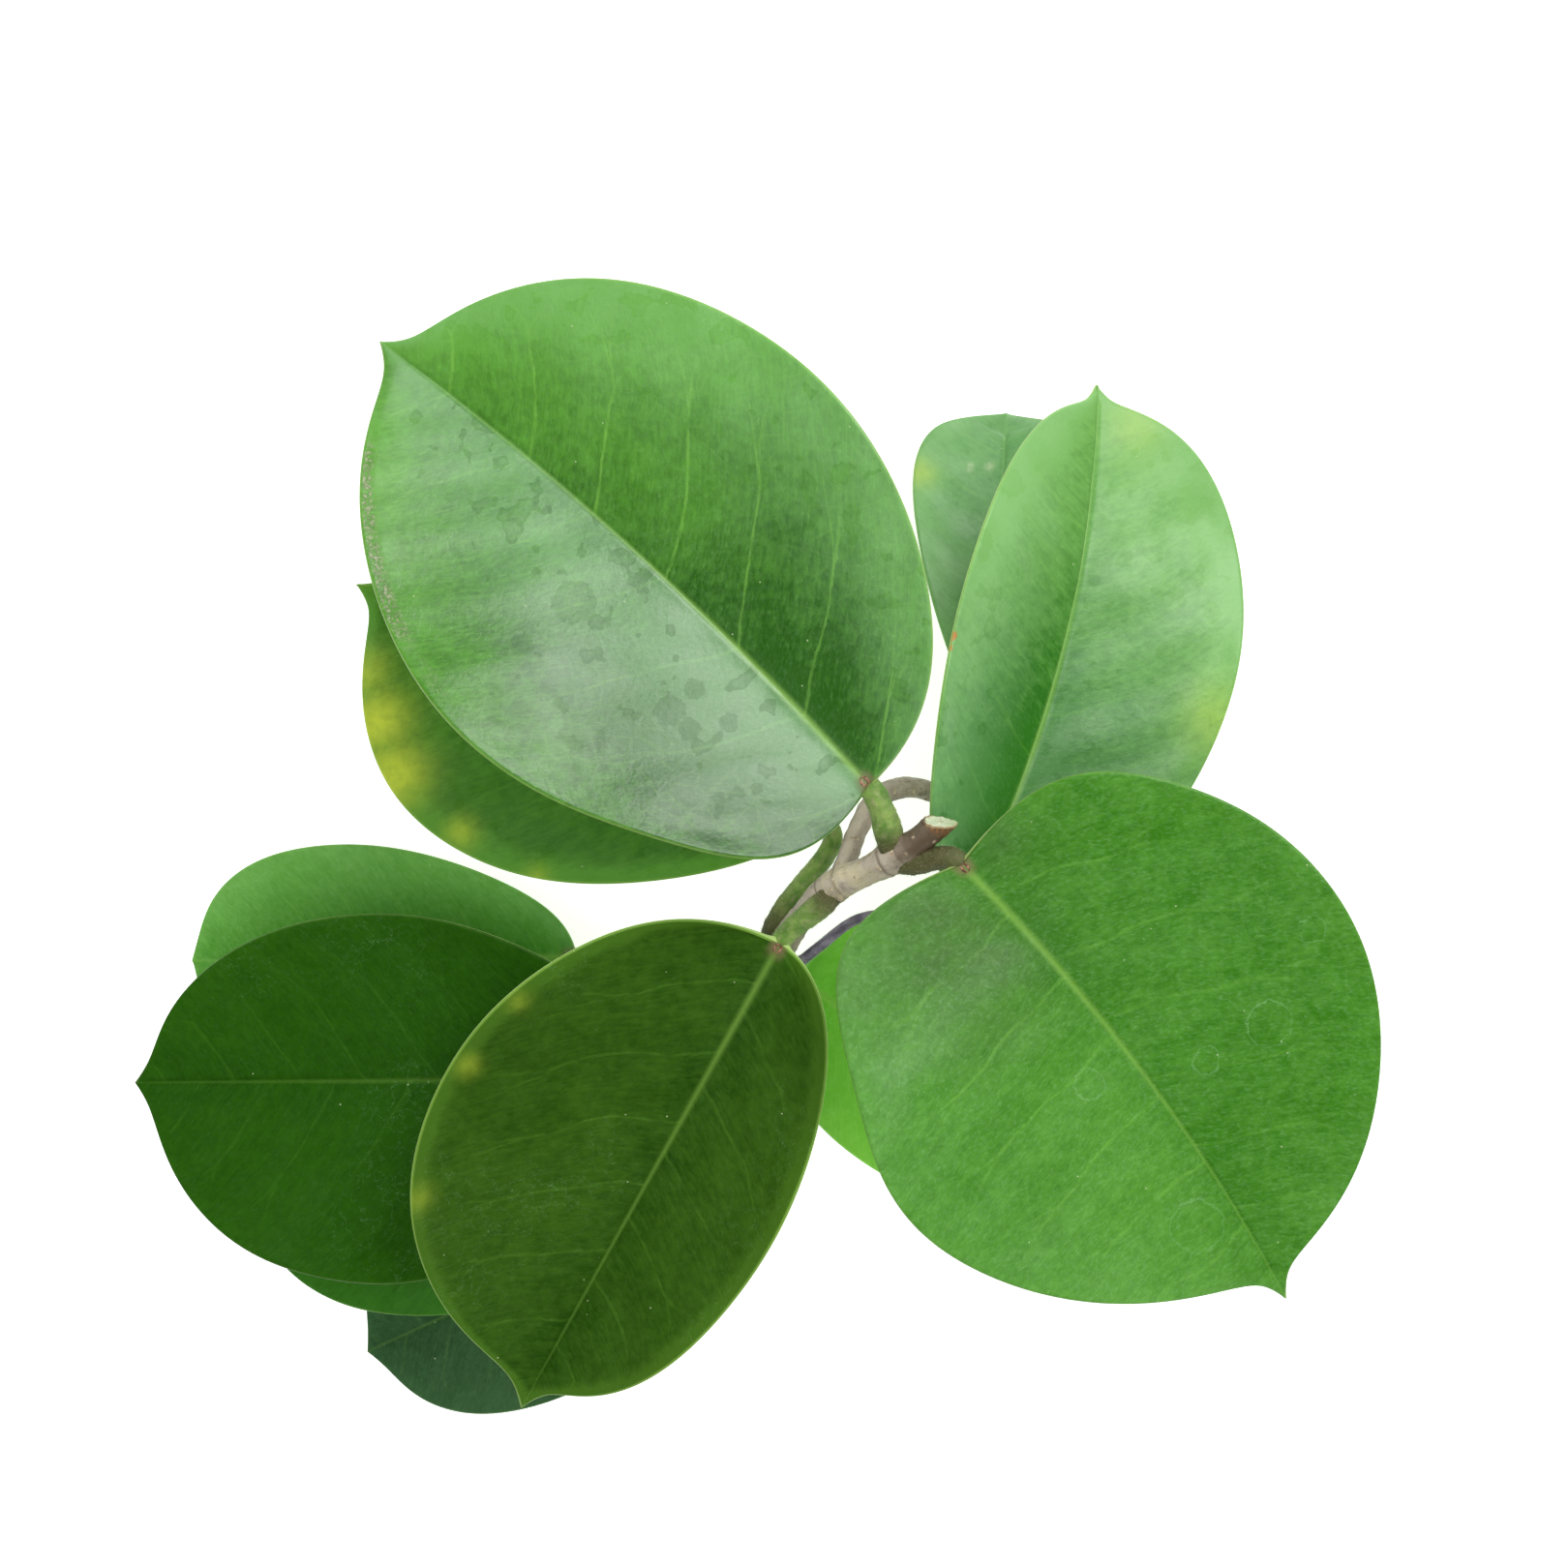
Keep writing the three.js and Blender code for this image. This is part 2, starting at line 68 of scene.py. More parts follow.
BRANCH = np.array([
    [7.4, -15.2, 39.5], [9.2, -11.5, 38.2], [10.9, -6.9, 37.0], [13.7, -2.2, 35.5],
    [17.6, -0.6, 33.5], [21.2, -0.9, 31.5], [25.0, -2.6, 29.0], [28.1, -5.8, 27.0],
    [29.3, -7.6, 26.4],
])
BRANCH_RADII = [1.5, 1.5, 1.55, 1.6, 1.6, 1.55, 1.5, 2.0, 0.9]
SHOOT = np.array([
    [-1.4, -25.4, 29.5], [0.7, -27.1, 31.7], [2.6, -26.3, 32.6], [5.3, -24.2, 33.2],
    [10.8, -20.2, 33.6], [17.0, -19.4, 33.2], [23.0, -21.4, 32.6], [26.6, -23.4, 32.8],
])
SHOOT_RADII = [0.85, 0.85, 0.8, 0.8, 0.75, 0.65, 0.6, 0.35]
CUT_FACES = np.array([0, 0.93, 0.37]) / math.hypot(0.93, 0.37)
BUDS = [
    (STEM[2], (75, 45), 4.2, 1.3), (STEM[4], (-60, 50), 3.8, 1.1), (STEM[6], (150, 60), 3.4, 1.0),
    (STEM[8], (-35, 5), 2.8, 1.3), (STEM[13], (-75, -10), 2.6, 0.8),
    (BRANCH[8], (-50, -20), 2.4, 1.0),
]

LEAF_MEASURES = (
    "node out base heading pitch sweep arch length half widest taper tip lobes fold curl wave"
    " waves phase petiole slot"
).split()
LEAVES = {
    "leaf_1_left": (STEM[2], (112, 20), (12.2, -0.2, 50.5), 132, -2, 11.3, -8, 98, (38.4, 37.6),
                    0.49, 1.16, 4.5, (0.38, 0.1), (14, 14), 6, 0.8, 2.5, 0, 1.9, "leaf_green"),
    "leaf_1_right": (STEM[2], (-42, 5), (25.8, -11.7, 50.5), -44.6, -6, -16.7, -6, 82,
                     (38.4, 40.8), 0.44, 1.1, 5, (0.19, 0.5), (8, 8), 4, 0.8, 2.2, 1, 1.8,
                     "leaf_green"),
    "leaf_2_left": (STEM[4], (-110, 22), (-0.6, -23.7, 37.5), -119, -6, 0, -8, 82, (22, 36.5), 0.5,
                    1.0, 5, (0.04, 0.04), (12, 12), 20, 0.8, 2.4, 2, 1.7, "leaf_dark"),
    "leaf_3_left": (STEM[6], (120, 10), (5.8, -5.8, 29.5), 153, -14, 0, -4, 84, (29.5, 28), 0.58,
                    1.4, 5, (0.04, 0.04), (10, 10), 6, 0.8, 2.3, 4, 1.6, "leaf_dark"),
    "leaf_3_right": (STEM[6], (-60, -10), (2.0, -29.5, 22.8), -34, -22, 0, 0, 62, (20, 18), 0.45,
                     0.9, 4, (0.2, 0.2), (8, 8), 0, 0.6, 2.1, 5, 1.4, "leaf_young"),
    "leaf_4_left": (STEM[8], (150, -5), (-31.9, -26.5, 14.2), 181, -11.5, 0, -4, 62, (20, 18), 0.6,
                    1.0, 1.5, (0.15, 0.15), (6, 6), 4, 0.6, 2.2, 1.5, 1.4, "leaf_young"),
    "leaf_5_left": (STEM[10], (130, 15), (-25.2, -44.4, 23.5), 181, -5, 0, -6, 75, (31, 26), 0.5,
                    1.0, 3, (0.2, 0.2), (10, 10), 4, 0.8, 2.4, 2.5, 1.5, "leaf_dark"),
    "leaf_5_right": (STEM[10], (-25, -20), (-16.4, -65.8, 6.9), 205, -6, 0, -2, 54, (19, 18), 0.52,
                     0.9, 2, (0.2, 0.2), (6, 6), 2, 0.6, 2.1, 3.5, 1.3, "leaf_dark"),
    "leaf_6_end": (STEM[12], (200, -10), (-29.5, -64.0, 12.5), 182, -6, 0, -4, 55, (17, 14), 0.5,
                   0.95, 3, (0.2, 0.2), (5, 5), 2, 0.6, 2.2, 4.5, 1.2, "leaf_green"),
    "leaf_side_left": (BRANCH[7], (75, -15), (30.8, 2.9, 20.8), 86, -20, 0, -3, 59, (14, 20), 0.8,
                       1.35, 1.5, (0.05, 0.05), (5, 5), 4, 0.5, 2.1, 5.5, 1.25, "leaf_young"),
    "leaf_side_right": (BRANCH[7], (-135, 25), (27.2, -16.5, 37.0), 62, -3, 27, -6, 80,
                        (21.5, 26.5), 0.53, 0.98, 3, (0.2, 0.2), (34, -8), 6, 1.0, 2.6, 3, 1.7,
                        "leaf_green"),
}
LEAVES = {name: dict(zip(LEAF_MEASURES, row)) for name, row in LEAVES.items()}
# How softly the oval gives way to the drip tip. One leaf has a narrow tip on a round end.
for leaf_name, leaf in LEAVES.items():
    leaf["tip_soft"] = 0.009 if leaf_name == "leaf_side_right" else 0.02
print("leaves:", len(LEAVES), "longest", max(leaf["length"] for leaf in LEAVES.values()), "mm")

# %% [markdown]
# ## Small helpers
# A mesh is made from a list of points and a list of faces. The helper below also keeps numbers
# with each point, such as its distance from the midrib, as attributes: the materials read them,
# so veins and margins follow the leaf wherever it bends.

# %% Points to meshes
def smooth(x):
    x = np.clip(x, 0, 1)
    return x * x * (3 - 2 * x)


def direction(plan, rise):
    level = math.cos(math.radians(rise))
    flat = math.radians(plan)
    return np.array([level * math.cos(flat), level * math.sin(flat), math.sin(math.radians(rise))])


def ripple(points, wavelength, seed, count=7):
    """A soft random swell between about -1 and 1, the same on each run."""
    random = np.random.default_rng(seed)
    swell = np.zeros(len(points))
    for _ in range(count):
        way = random.normal(size=3)
        way *= 2 * math.pi / (wavelength * random.uniform(0.7, 1.5) * np.linalg.norm(way))
        swell += np.sin(points @ way + random.uniform(0, 2 * math.pi))
    return swell / math.sqrt(count)


def linked(name, data):
    """An object that shows the data, linked to the scene."""
    made = bpy.data.objects.new(name, data)
    bpy.context.scene.collection.objects.link(made)
    return made


def keep(mesh, numbers):
    """Keeps three numbers with each point of a mesh, under each label."""
    for label, values in numbers.items():
        layer = mesh.attributes.new(label, "FLOAT_VECTOR", "POINT")
        layer.data.foreach_set("vector", np.asarray(values, np.float32).ravel())


def mesh_piece(name, points, faces, kept=None, materials=(), material_index=None):
    """An object from points in plan millimetres, shaded smooth, at the origin."""
    mesh = bpy.data.meshes.new(name)
    placed = (np.asarray(points) + PLAN_TO_ORIGIN) * MM
    mesh.from_pydata(placed.tolist(), [], [tuple(face) for face in faces])
    keep(mesh, kept or {})
    for material in materials:
        mesh.materials.append(material)
    if material_index is not None:
        mesh.polygons.foreach_set("material_index", np.asarray(material_index, np.int32))
    mesh.shade_smooth()
    mesh.validate()
    return linked(name, mesh)


def plain(piece, name):
    """A plain mesh of what the piece's modifiers make of it, in the piece's stead."""
    shaped = piece.evaluated_get(bpy.context.evaluated_depsgraph_get())
    mesh = bpy.data.meshes.new_from_object(shaped)
    mesh.name = name
    bpy.data.objects.remove(piece)
    return linked(name, mesh)


def dress(piece, node):
    """Ties a finished piece to the frame: it rides the body and stands for a node."""
    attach(piece, "root")
    if node:
        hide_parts(node)


# %% [markdown]
# ## Materials: helpers
# Colours are picked as sRGB hex values, as on a colour chart, and one function turns them into
# the linear values that a shader needs. One more function adds a node with its settings and
# links. A material could be wired by hand, or by a long list of such calls. Here it calls for a
# node by a short word, and what it gets back can be added and multiplied like a number, so that
# each material below reads as a list of steps.

# %% Colours and nodes
def hex_colour(code):
    parts = [int(code[i:i + 2], 16) / 255 for i in (0, 2, 4)]
    linear = [c / 12.92 if c <= 0.04045 else ((c + 0.055) / 1.055) ** 2.4 for c in parts]
    return (*linear, 1.0)


def node(tree, kind, inputs=None, **settings):
    """Adds a node. Inputs are values, hex colours or sockets to link; settings are properties."""
    made = tree.nodes.new(kind)
    for key, value in settings.items():
        setattr(made, key, value)
    for name, value in (inputs or {}).items():
        value, socket = getattr(value, "socket", value), made.inputs[name]
        if isinstance(value, bpy.types.NodeSocket):
            tree.links.new(value, socket)
        else:
            socket.default_value = hex_colour(value) if socket.type == "RGBA" else value
    return made


# Short words for nodes: Blender's name, the inputs in order, the output and the settings. Any
# other word is an operation of the Math node.
WORDS = {
    "ramp": ("MapRange", ("Value", "From Min", "From Max", "To Min", "To Max"), 0,
             {"interpolation_type": "SMOOTHSTEP"}),
    "mix": ("Mix", ("Factor", 6, 7), 2, {"data_type": "RGBA"}),
    "noise": ("TexNoise", ("Vector", "Scale", "Detail", "Roughness"), "Fac", {}),
    "cell edges": ("TexVoronoi", ("Vector", "Scale"), "Distance",
                   {"feature": "DISTANCE_TO_EDGE"}),
    "bump": ("Bump", ("Height", "Distance", "Strength", "Normal"), "Normal", {}),
    "join": ("CombineXYZ", range(3), 0, {}),
    "red": ("SeparateXYZ", range(1), 0, {}),
    "times": ("VectorMath", range(2), 0, {"operation": "MULTIPLY"}),
    "distance": ("VectorMath", range(2), "Value", {"operation": "DISTANCE"}),
}


class Value:
    """A socket to reckon with: each sum of two values adds a node to the material."""

    def __init__(self, recipe, socket):
        self.recipe, self.socket = recipe, socket


for sign, what in (("add", "ADD"), ("sub", "SUBTRACT"), ("mul", "MULTIPLY"), ("truediv", "DIVIDE")):
    setattr(Value, f"__{sign}__", lambda a, b, what=what: a.recipe(what, a, b))


class Recipe:
    """A material being built. A call with a word and values adds one node."""

    def __init__(self, name):
        self.material = bpy.data.materials.new(name)
        self.material.use_nodes = True
        self.tree = self.material.node_tree
        self.tree.nodes.clear()

    def __call__(self, word, *values):
        kind, names, output, settings = WORDS.get(word, ("Math", range(3), 0, {"operation": word}))
        made = node(self.tree, "ShaderNode" + kind, dict(zip(names, values)), **settings)
        return Value(self, made.outputs[output])

    def kept(self, label):
        """The three numbers that the mesh keeps with its points under a label."""
        vector = node(self.tree, "ShaderNodeAttribute", attribute_name=label).outputs["Vector"]
        numbers = node(self.tree, "ShaderNodeSeparateXYZ", {0: vector}).outputs
        return [Value(self, numbers[i]) for i in range(3)]

    def place(self):
        """The point on the piece in millimetres."""
        spot = node(self.tree, "ShaderNodeTexCoord").outputs["Object"]
        return self("times", spot, (1000.0, 1000.0, 1000.0))

    def layers(self, colour, *coats):
        """The colour under thin coats: how much of each one shows, and its own colour."""
        for share, paint in coats:
            colour = self("mix", share, colour, paint)
        return colour

    def relief(self, *heights):
        """The normal of heights laid over each other: each one's height, depth in mm, strength."""
        under = []
        for height, depth, strength in heights:
            under = [self("bump", height, depth * MM, strength, *under)]
        return under[0]

    def finish(self, inputs):
        shader = node(self.tree, "ShaderNodeBsdfPrincipled", inputs)
        node(self.tree, "ShaderNodeOutputMaterial", {0: shader.outputs[0]})
        return self.material


print("words for nodes:", ", ".join(WORDS))

# %% [markdown]
# ## The shape of a blade
# A leaf of this plant is a thick oval with a drawn-out drip tip. Its two halves fold up from the
# midrib, curl on towards the margin and wave a little there. It could be sculpted or bent with a
# lattice. Here it is a rule: one number runs from base to tip and one from the right margin to
# the left, and the rule gives the point. The solids are made by the same rule, so this finer net
# keeps their form.

# %% The blade's rule
DRIP_TIP_BLUNT = 0.75
SHOULDER_OVER = 0.13
RIGHT_WAVE_AHEAD = 2
SOFT_CREASE = 0.02


def half_width(leaf, along, full):
    length, tip, widest, taper = (leaf[key] for key in ("length", "tip", "widest", "taper"))
    x = along / (length - tip)
    ahead = (1 - x + np.hypot(1 - x, leaf["tip_soft"])) / 2
    rise = (x / widest) ** (widest * taper)
    fall = (ahead / (1 - widest)) ** ((1 - widest) * taper)
    return full * rise * fall * np.tanh((length - along) / (DRIP_TIP_BLUNT * tip))


def bend(x, h, angle, length):
    if abs(angle) < 1e-6:
        return x, h
    radius = length / angle
    return (radius - h) * np.sin(x / radius), radius - (radius - h) * np.cos(x / radius)


def turn(x, y, angle):
    return x * np.cos(angle) - y * np.sin(angle), x * np.sin(angle) + y * np.cos(angle)


def along_midrib(leaf, t):
    return leaf["length"] * (1 - np.cos(np.pi * t)) / 2


def middle(leaf, t, v):
    """Points of the blade's middle surface: t from base to tip, v from -1 (right) to 1 (left)."""
    t, v = np.broadcast_arrays(np.asarray(t, float), np.asarray(v, float))
    along = along_midrib(leaf, t)
    out = np.abs(v)
    halves = {key: np.where(v < 0, leaf[key][1], leaf[key][0]) for key in ("half", "fold", "lobes")}
    width = half_width(leaf, along, halves["half"])
    rise = np.radians(halves["fold"]) + math.radians(leaf["curl"]) * out / 2
    ahead = leaf["phase"] + np.where(v < 0, RIGHT_WAVE_AHEAD, 0)
    wave = np.sin(2 * np.pi * leaf["waves"] * along / leaf["length"] + ahead)
    slant = halves["lobes"] * np.exp(-(along / (SHOULDER_OVER * leaf["length"])) ** 2)
    lifted = np.sqrt(out ** 2 + SOFT_CREASE ** 2) - SOFT_CREASE
    x = along - slant * width * out
    y = np.sign(v) * width * out * np.cos(rise)
    z = width * lifted * np.sin(rise) + leaf["wave"] * out ** 2 * wave * np.sin(np.pi * t)
    x, y = bend(x, y, math.radians(leaf["sweep"]), leaf["length"])
    x, z = bend(x, z, math.radians(leaf["arch"]), leaf["length"])
    x, z = turn(x, z, math.radians(leaf["pitch"]))
    x, y = turn(x, y, math.radians(leaf["heading"]))
    return np.stack([x, y, z], axis=-1) + np.asarray(leaf["base"], float)


def blade_normal(leaf, t, v):
    t, v = np.broadcast_arrays(np.clip(t, 0.03, 0.97), np.asarray(v, float))
    ahead = middle(leaf, t + 0.004, v) - middle(leaf, t - 0.004, v)
    across = middle(leaf, t, np.minimum(v + 0.01, 1)) - middle(leaf, t, np.maximum(v - 0.01, -1))
    normal = np.cross(ahead, across)
    return normal / np.linalg.norm(normal, axis=-1, keepdims=True)


# %% [markdown]
# ## From the rule to a net
# The blade is about 1.3 mm thick at its midrib and thinner towards a rounded margin. The net's
# rows crowd at the base and the tip, and its columns crowd at the midrib and at the margin, where
# the surface turns fastest. Under the blade the midrib stands proud as a rib. On top it is a low
# ridge near the base that sinks to a fine groove. The flesh swells a little between the side
# veins. Each point keeps its distances and its place among the side veins.

# %% Nets for blades
COLUMN_SHARES = np.array([
    0, 0.006, 0.012, 0.02, 0.03, 0.045, 0.065, 0.09, *np.arange(0.12, 0.93, 0.03), 0.94, 0.96,
    0.975, 0.985, 0.992, 0.9965, 0.999, 1,
])
ROWS_PER_MM = 1.5
MARGIN_ROUND = 0.45
VEINS_ON_BLADE = 7.0
# How far side veins run forward for each millimetre out, and where the first one starts, as a share
# of their spacing: left half, right half.
VEIN_COURSES = {
    "leaf_1_left": (0.55, 0.66, 0.0, 0.02), "leaf_1_right": (0.36, 0.12, 0.35, 0.1),
}
PLAIN_COURSE = (0.6, 0.6, 0.0, 0.45)


def blade_numbers(leaf, t, v, course):
    """For each point: along, signed side and margin distances, vein phase, width, share out."""
    along = along_midrib(leaf, t) + 0 * v
    out = np.abs(v) + 0 * t
    width = half_width(leaf, along, np.where(v < 0, leaf["half"][1], leaf["half"][0]))
    side = np.sign(v) * width * out
    reach = np.abs(side)
    forward, offset = (np.where(v < 0, course[i + 1], course[i]) for i in (0, 2))
    started = along - forward * reach * (0.8 + 0.35 * out)
    phase = started * VEINS_ON_BLADE / leaf["length"] + offset
    return along, side, (1 - out) * width, phase, width, out


def blade_arrays(leaf, rows, course):
    t = np.linspace(0, 1, rows)[:, None]
    v = np.concatenate([-COLUMN_SHARES[:0:-1], COLUMN_SHARES])[None, :]
    along, side, margin, phase, width, out = blade_numbers(leaf, t, v, course)
    base = middle(leaf, t, v)
    normal = blade_normal(leaf, t, v)
    rounded = np.sqrt(np.clip(1 - (1 - np.minimum(margin / MARGIN_ROUND, 1)) ** 2, 0, 1))
    half = (0.8 + 0.5 * (1 - out)) / 2 * rounded
    share = along / leaf["length"]
    inner = smooth(margin / 4)
    ridge = 0.35 * (1 - share) ** 2 * np.exp(-(side / 1.4) ** 2)
    groove = 0.28 * smooth(share * 2.5) * np.exp(-(side / 0.5) ** 2)
    swell = 0.1 * np.cos(2 * np.pi * phase) * inner * smooth(np.abs(side) / 5)
    flat = base.reshape(-1, 3)
    drift = 0.22 * ripple(flat, 26, int(leaf["length"] * 10)).reshape(out.shape) * inner
    drift += 0.05 * ripple(flat, 7, int(leaf["length"] * 7)).reshape(out.shape) * inner
    rib = 0.9 * (1 - share) * np.exp(-(side / 1.3) ** 2) * rounded
    top = base + normal * (half + (ridge - groove) * inner - swell + drift)[..., None]
    bottom = base - normal * (half + rib - drift)[..., None]
    top[..., 2] = np.maximum(top[..., 2], 2 * half)
    bottom[..., 2] = np.maximum(bottom[..., 2], 0)
    lie = np.stack([along, side, margin], axis=-1)
    veins = np.stack([phase, width, out], axis=-1)
    return top, bottom, lie, veins


def blade_net(leaf, course):
    """Points, faces and kept numbers of a closed blade, and which faces are underneath."""
    rows = int(leaf["length"] * ROWS_PER_MM)
    top, bottom, lie, veins = blade_arrays(leaf, rows, course)
    columns = top.shape[1]
    upper = np.arange(rows * columns).reshape(rows, columns)
    lower = upper + rows * columns
    upper[0], upper[-1] = upper[0, 0], upper[-1, 0]
    lower[0], lower[-1] = upper[0, 0], upper[-1, 0]
    lower[:, 0], lower[:, -1] = upper[:, 0], upper[:, -1]
    faces, under = [], []
    for grid, is_under in ((upper, 0), (lower, 1)):
        a, b = grid[:-1, :-1].ravel(), grid[1:, :-1].ravel()
        c, d = grid[1:, 1:].ravel(), grid[:-1, 1:].ravel()
        quads = np.stack([a, d, c, b] if is_under else [a, b, c, d], axis=1)
        for quad in quads.tolist():
            face = list(dict.fromkeys(quad))
            if len(face) > 2:
                faces.append(face[::-1])
                under.append(is_under)
    points = np.concatenate([top.reshape(-1, 3), bottom.reshape(-1, 3)])
    used = np.unique(np.concatenate([np.array(face) for face in faces]))
    renumber = np.zeros(len(points), int)
    renumber[used] = np.arange(len(used))
    faces = [[int(renumber[i]) for i in face] for face in faces]
    kept = {"lie": np.concatenate([lie.reshape(-1, 3)] * 2)[used],
            "veins": np.concatenate([veins.reshape(-1, 3)] * 2)[used]}
    return points[used], faces, kept, under


print("columns across a blade:", 2 * len(COLUMN_SHARES) - 1)

# %% [markdown]
# ## The skin of a leaf
# The upper skin is a thick wax over green flesh. Wax gives a soft, broad sheen and mutes the green
# where light falls on it at the right slant; part of that sheen is painted into the colour here as
# a pale wash, and on some leaves so are painted light towards the tip and painted shade at the
# base.
# The side veins are faint pale lines that fork near the margin, fine streaks run between them, and
# the midrib and the margin are bright yellow-green.
# Old leaves carry dried drops, pale specks, yellow patches and rough scurf. The pattern could be
# painted on a UV map. Here it is worked out from the numbers that the blade keeps, so it stays
# sharp at any size.

# %% Upper skin
# Deep and light green; lighter towards the margin by how much and over how many mm, partly as
# painted sheen; lighter towards the tip and darker at the base, as painted light and shade; how
# much deeper the left half is and how much fainter its veins, under its painted sheen; strength of
# side veins, midrib, margin line and pale grain; roughness; how waxed; dusty bloom with painted
# sheen inside and outside on the left half, then on the right.
LOOK_MEASURES = "deep light margin over tip left veins midrib edge grain gloss wax bloom".split()
LEAF_LOOKS = {
    "leaf_1_left": ("1f5400", "58982e", 0.4, 20, 0.42, 0.3, 0.55, 0.5, 0.4, 0.07, 0.36, 1.0,
                    (0.26, 0.0, 0.0, 0.18)),
    "leaf_1_right": ("306e08", "5c9a34", 0.1, 8, 0.0, 0.2, 0.35, 0.4, 0.12, 0.12, 0.38, 0.5,
                     (0.0, 0.0, 0.0, 0.03)),
    # Painted shadow: this leaf lies under the leaves above it, and both its greens are darkened for
    # that shade.
    "leaf_2_left": ("1a3e00", "3e6416", 0.9, 4, 0.0, 0.0, 0.12, 0.3, 0.45, 0.02, 0.45, 0.0,
                    (0.0, 0.0, 0.0, 0.0)),
    "leaf_3_left": ("225600", "528c26", 0.8, 6, 0.1, 0.0, 0.1, 0.4, 0.35, 0.03, 0.42, 0.1,
                    (0.0, 0.05, 0.0, 0.0)),
    "leaf_3_right": ("62ba24", "88d24c", 0.3, 6, 0.0, 0.0, 0.2, 0.5, 0.2, 0.08, 0.36, 0.5,
                     (0.0, 0.0, 0.0, 0.0)),
    "leaf_4_left": ("3e841a", "64a240", 0.3, 8, 0.0, 0.0, 0.15, 0.5, 0.12, 0.1, 0.38, 0.5,
                    (0.0, 0.03, 0.0, 0.06)),
    "leaf_5_left": ("174200", "285a02", 0.1, 4, 0.1, 0.0, 0.06, 0.16, 0.08, 0.02, 0.45, 0.0,
                    (0.0, 0.0, 0.0, 0.0)),
    "leaf_5_right": ("244a24", "3a6438", 0.2, 5, 0.0, 0.0, 0.1, 0.3, 0.12, 0.06, 0.42, 0.3,
                     (0.0, 0.02, 0.0, 0.02)),
    "leaf_6_end": ("225806", "38761a", 0.3, 6, 0.0, 0.0, 0.15, 0.4, 0.15, 0.04, 0.42, 0.2,
                   (0.0, 0.0, 0.0, 0.0)),
    "leaf_side_left": ("4c8442", "70a45e", 0.4, 7, 0.0, 0.0, 0.15, 0.3, 0.15, 0.08, 0.42, 0.8,
                       (0.1, 0.12, 0.1, 0.12)),
    "leaf_side_right": ("226408", "669e48", 0.4, 10, 0.7, 0.0, 0.15, 0.5, 0.25, 0.06, 0.4, 0.7,
                        (0.0, 0.2, 0.1, 0.12)),
}
# Soft patches: millimetres along the midrib, out to the left of it, how wide, how strong.
PATCHES = {
    "yellow": {
        "leaf_3_left": [(69, 18, 5, 1.0), (62, 24, 5, 1.0), (75, 12, 4, 0.6), (48, 27, 2.5, 0.5),
                        (34, 28, 2, 0.4)],
        "leaf_2_left": [(36, -34, 1.8, 0.3), (57, -31, 2.2, 0.22), (24, -32, 1.6, 0.2)],
        "leaf_side_right": [(74, -6, 4, 0.2), (36, -25, 5, 0.25)],
        "leaf_side_left": [(47, 13, 2.5, 0.4)],
    },
    "scurf": {
        "leaf_1_left": [(70, 26, 9, 1.0), (84, 20, 7, 0.9), (55, 30, 6, 0.6)],
        "leaf_side_left": [(54, -3, 4, 0.8)],
    },
    "haze": {
        "leaf_1_right": [(10, -10, 11, 0.9), (5, -24, 8, 0.5), (2, 6, 6, 0.5)],
        "leaf_1_left": [(93, 2, 5, 0.3)],
        "leaf_side_right": [(40, 20, 7, 0.3)],
    },
    "brown": {"leaf_side_right": [(33, 21.6, 1.0, 1.0), (35, 21.4, 0.9, 1.0)]},
    "pale": {"leaf_side_left": [(49, 5.2, 0.5, 0.8), (49.5, 2.2, 0.7, 0.6)]},
}
# Dried drops: plan place and radius. Those that lifted the bloom show dark in the painted sheen,
# the others as rings.
DROPS = {
    "leaf_1_left": [(-30.6, 26.5, 3.3), (-16.4, 10.6, 2.2), (-12.9, 13.8, 1.6), (-13.7, 7.9, 1.8),
                    (-7.8, 8.9, 1.4), (-38.0, 20.0, 1.7)],
    "leaf_1_right": [(70.9, -35.0, 3.3), (61.7, -40.4, 2.0), (44.6, -43.8, 2.2),
                     (60.7, -65.0, 3.9), (76.8, -21.1, 1.9)],
}


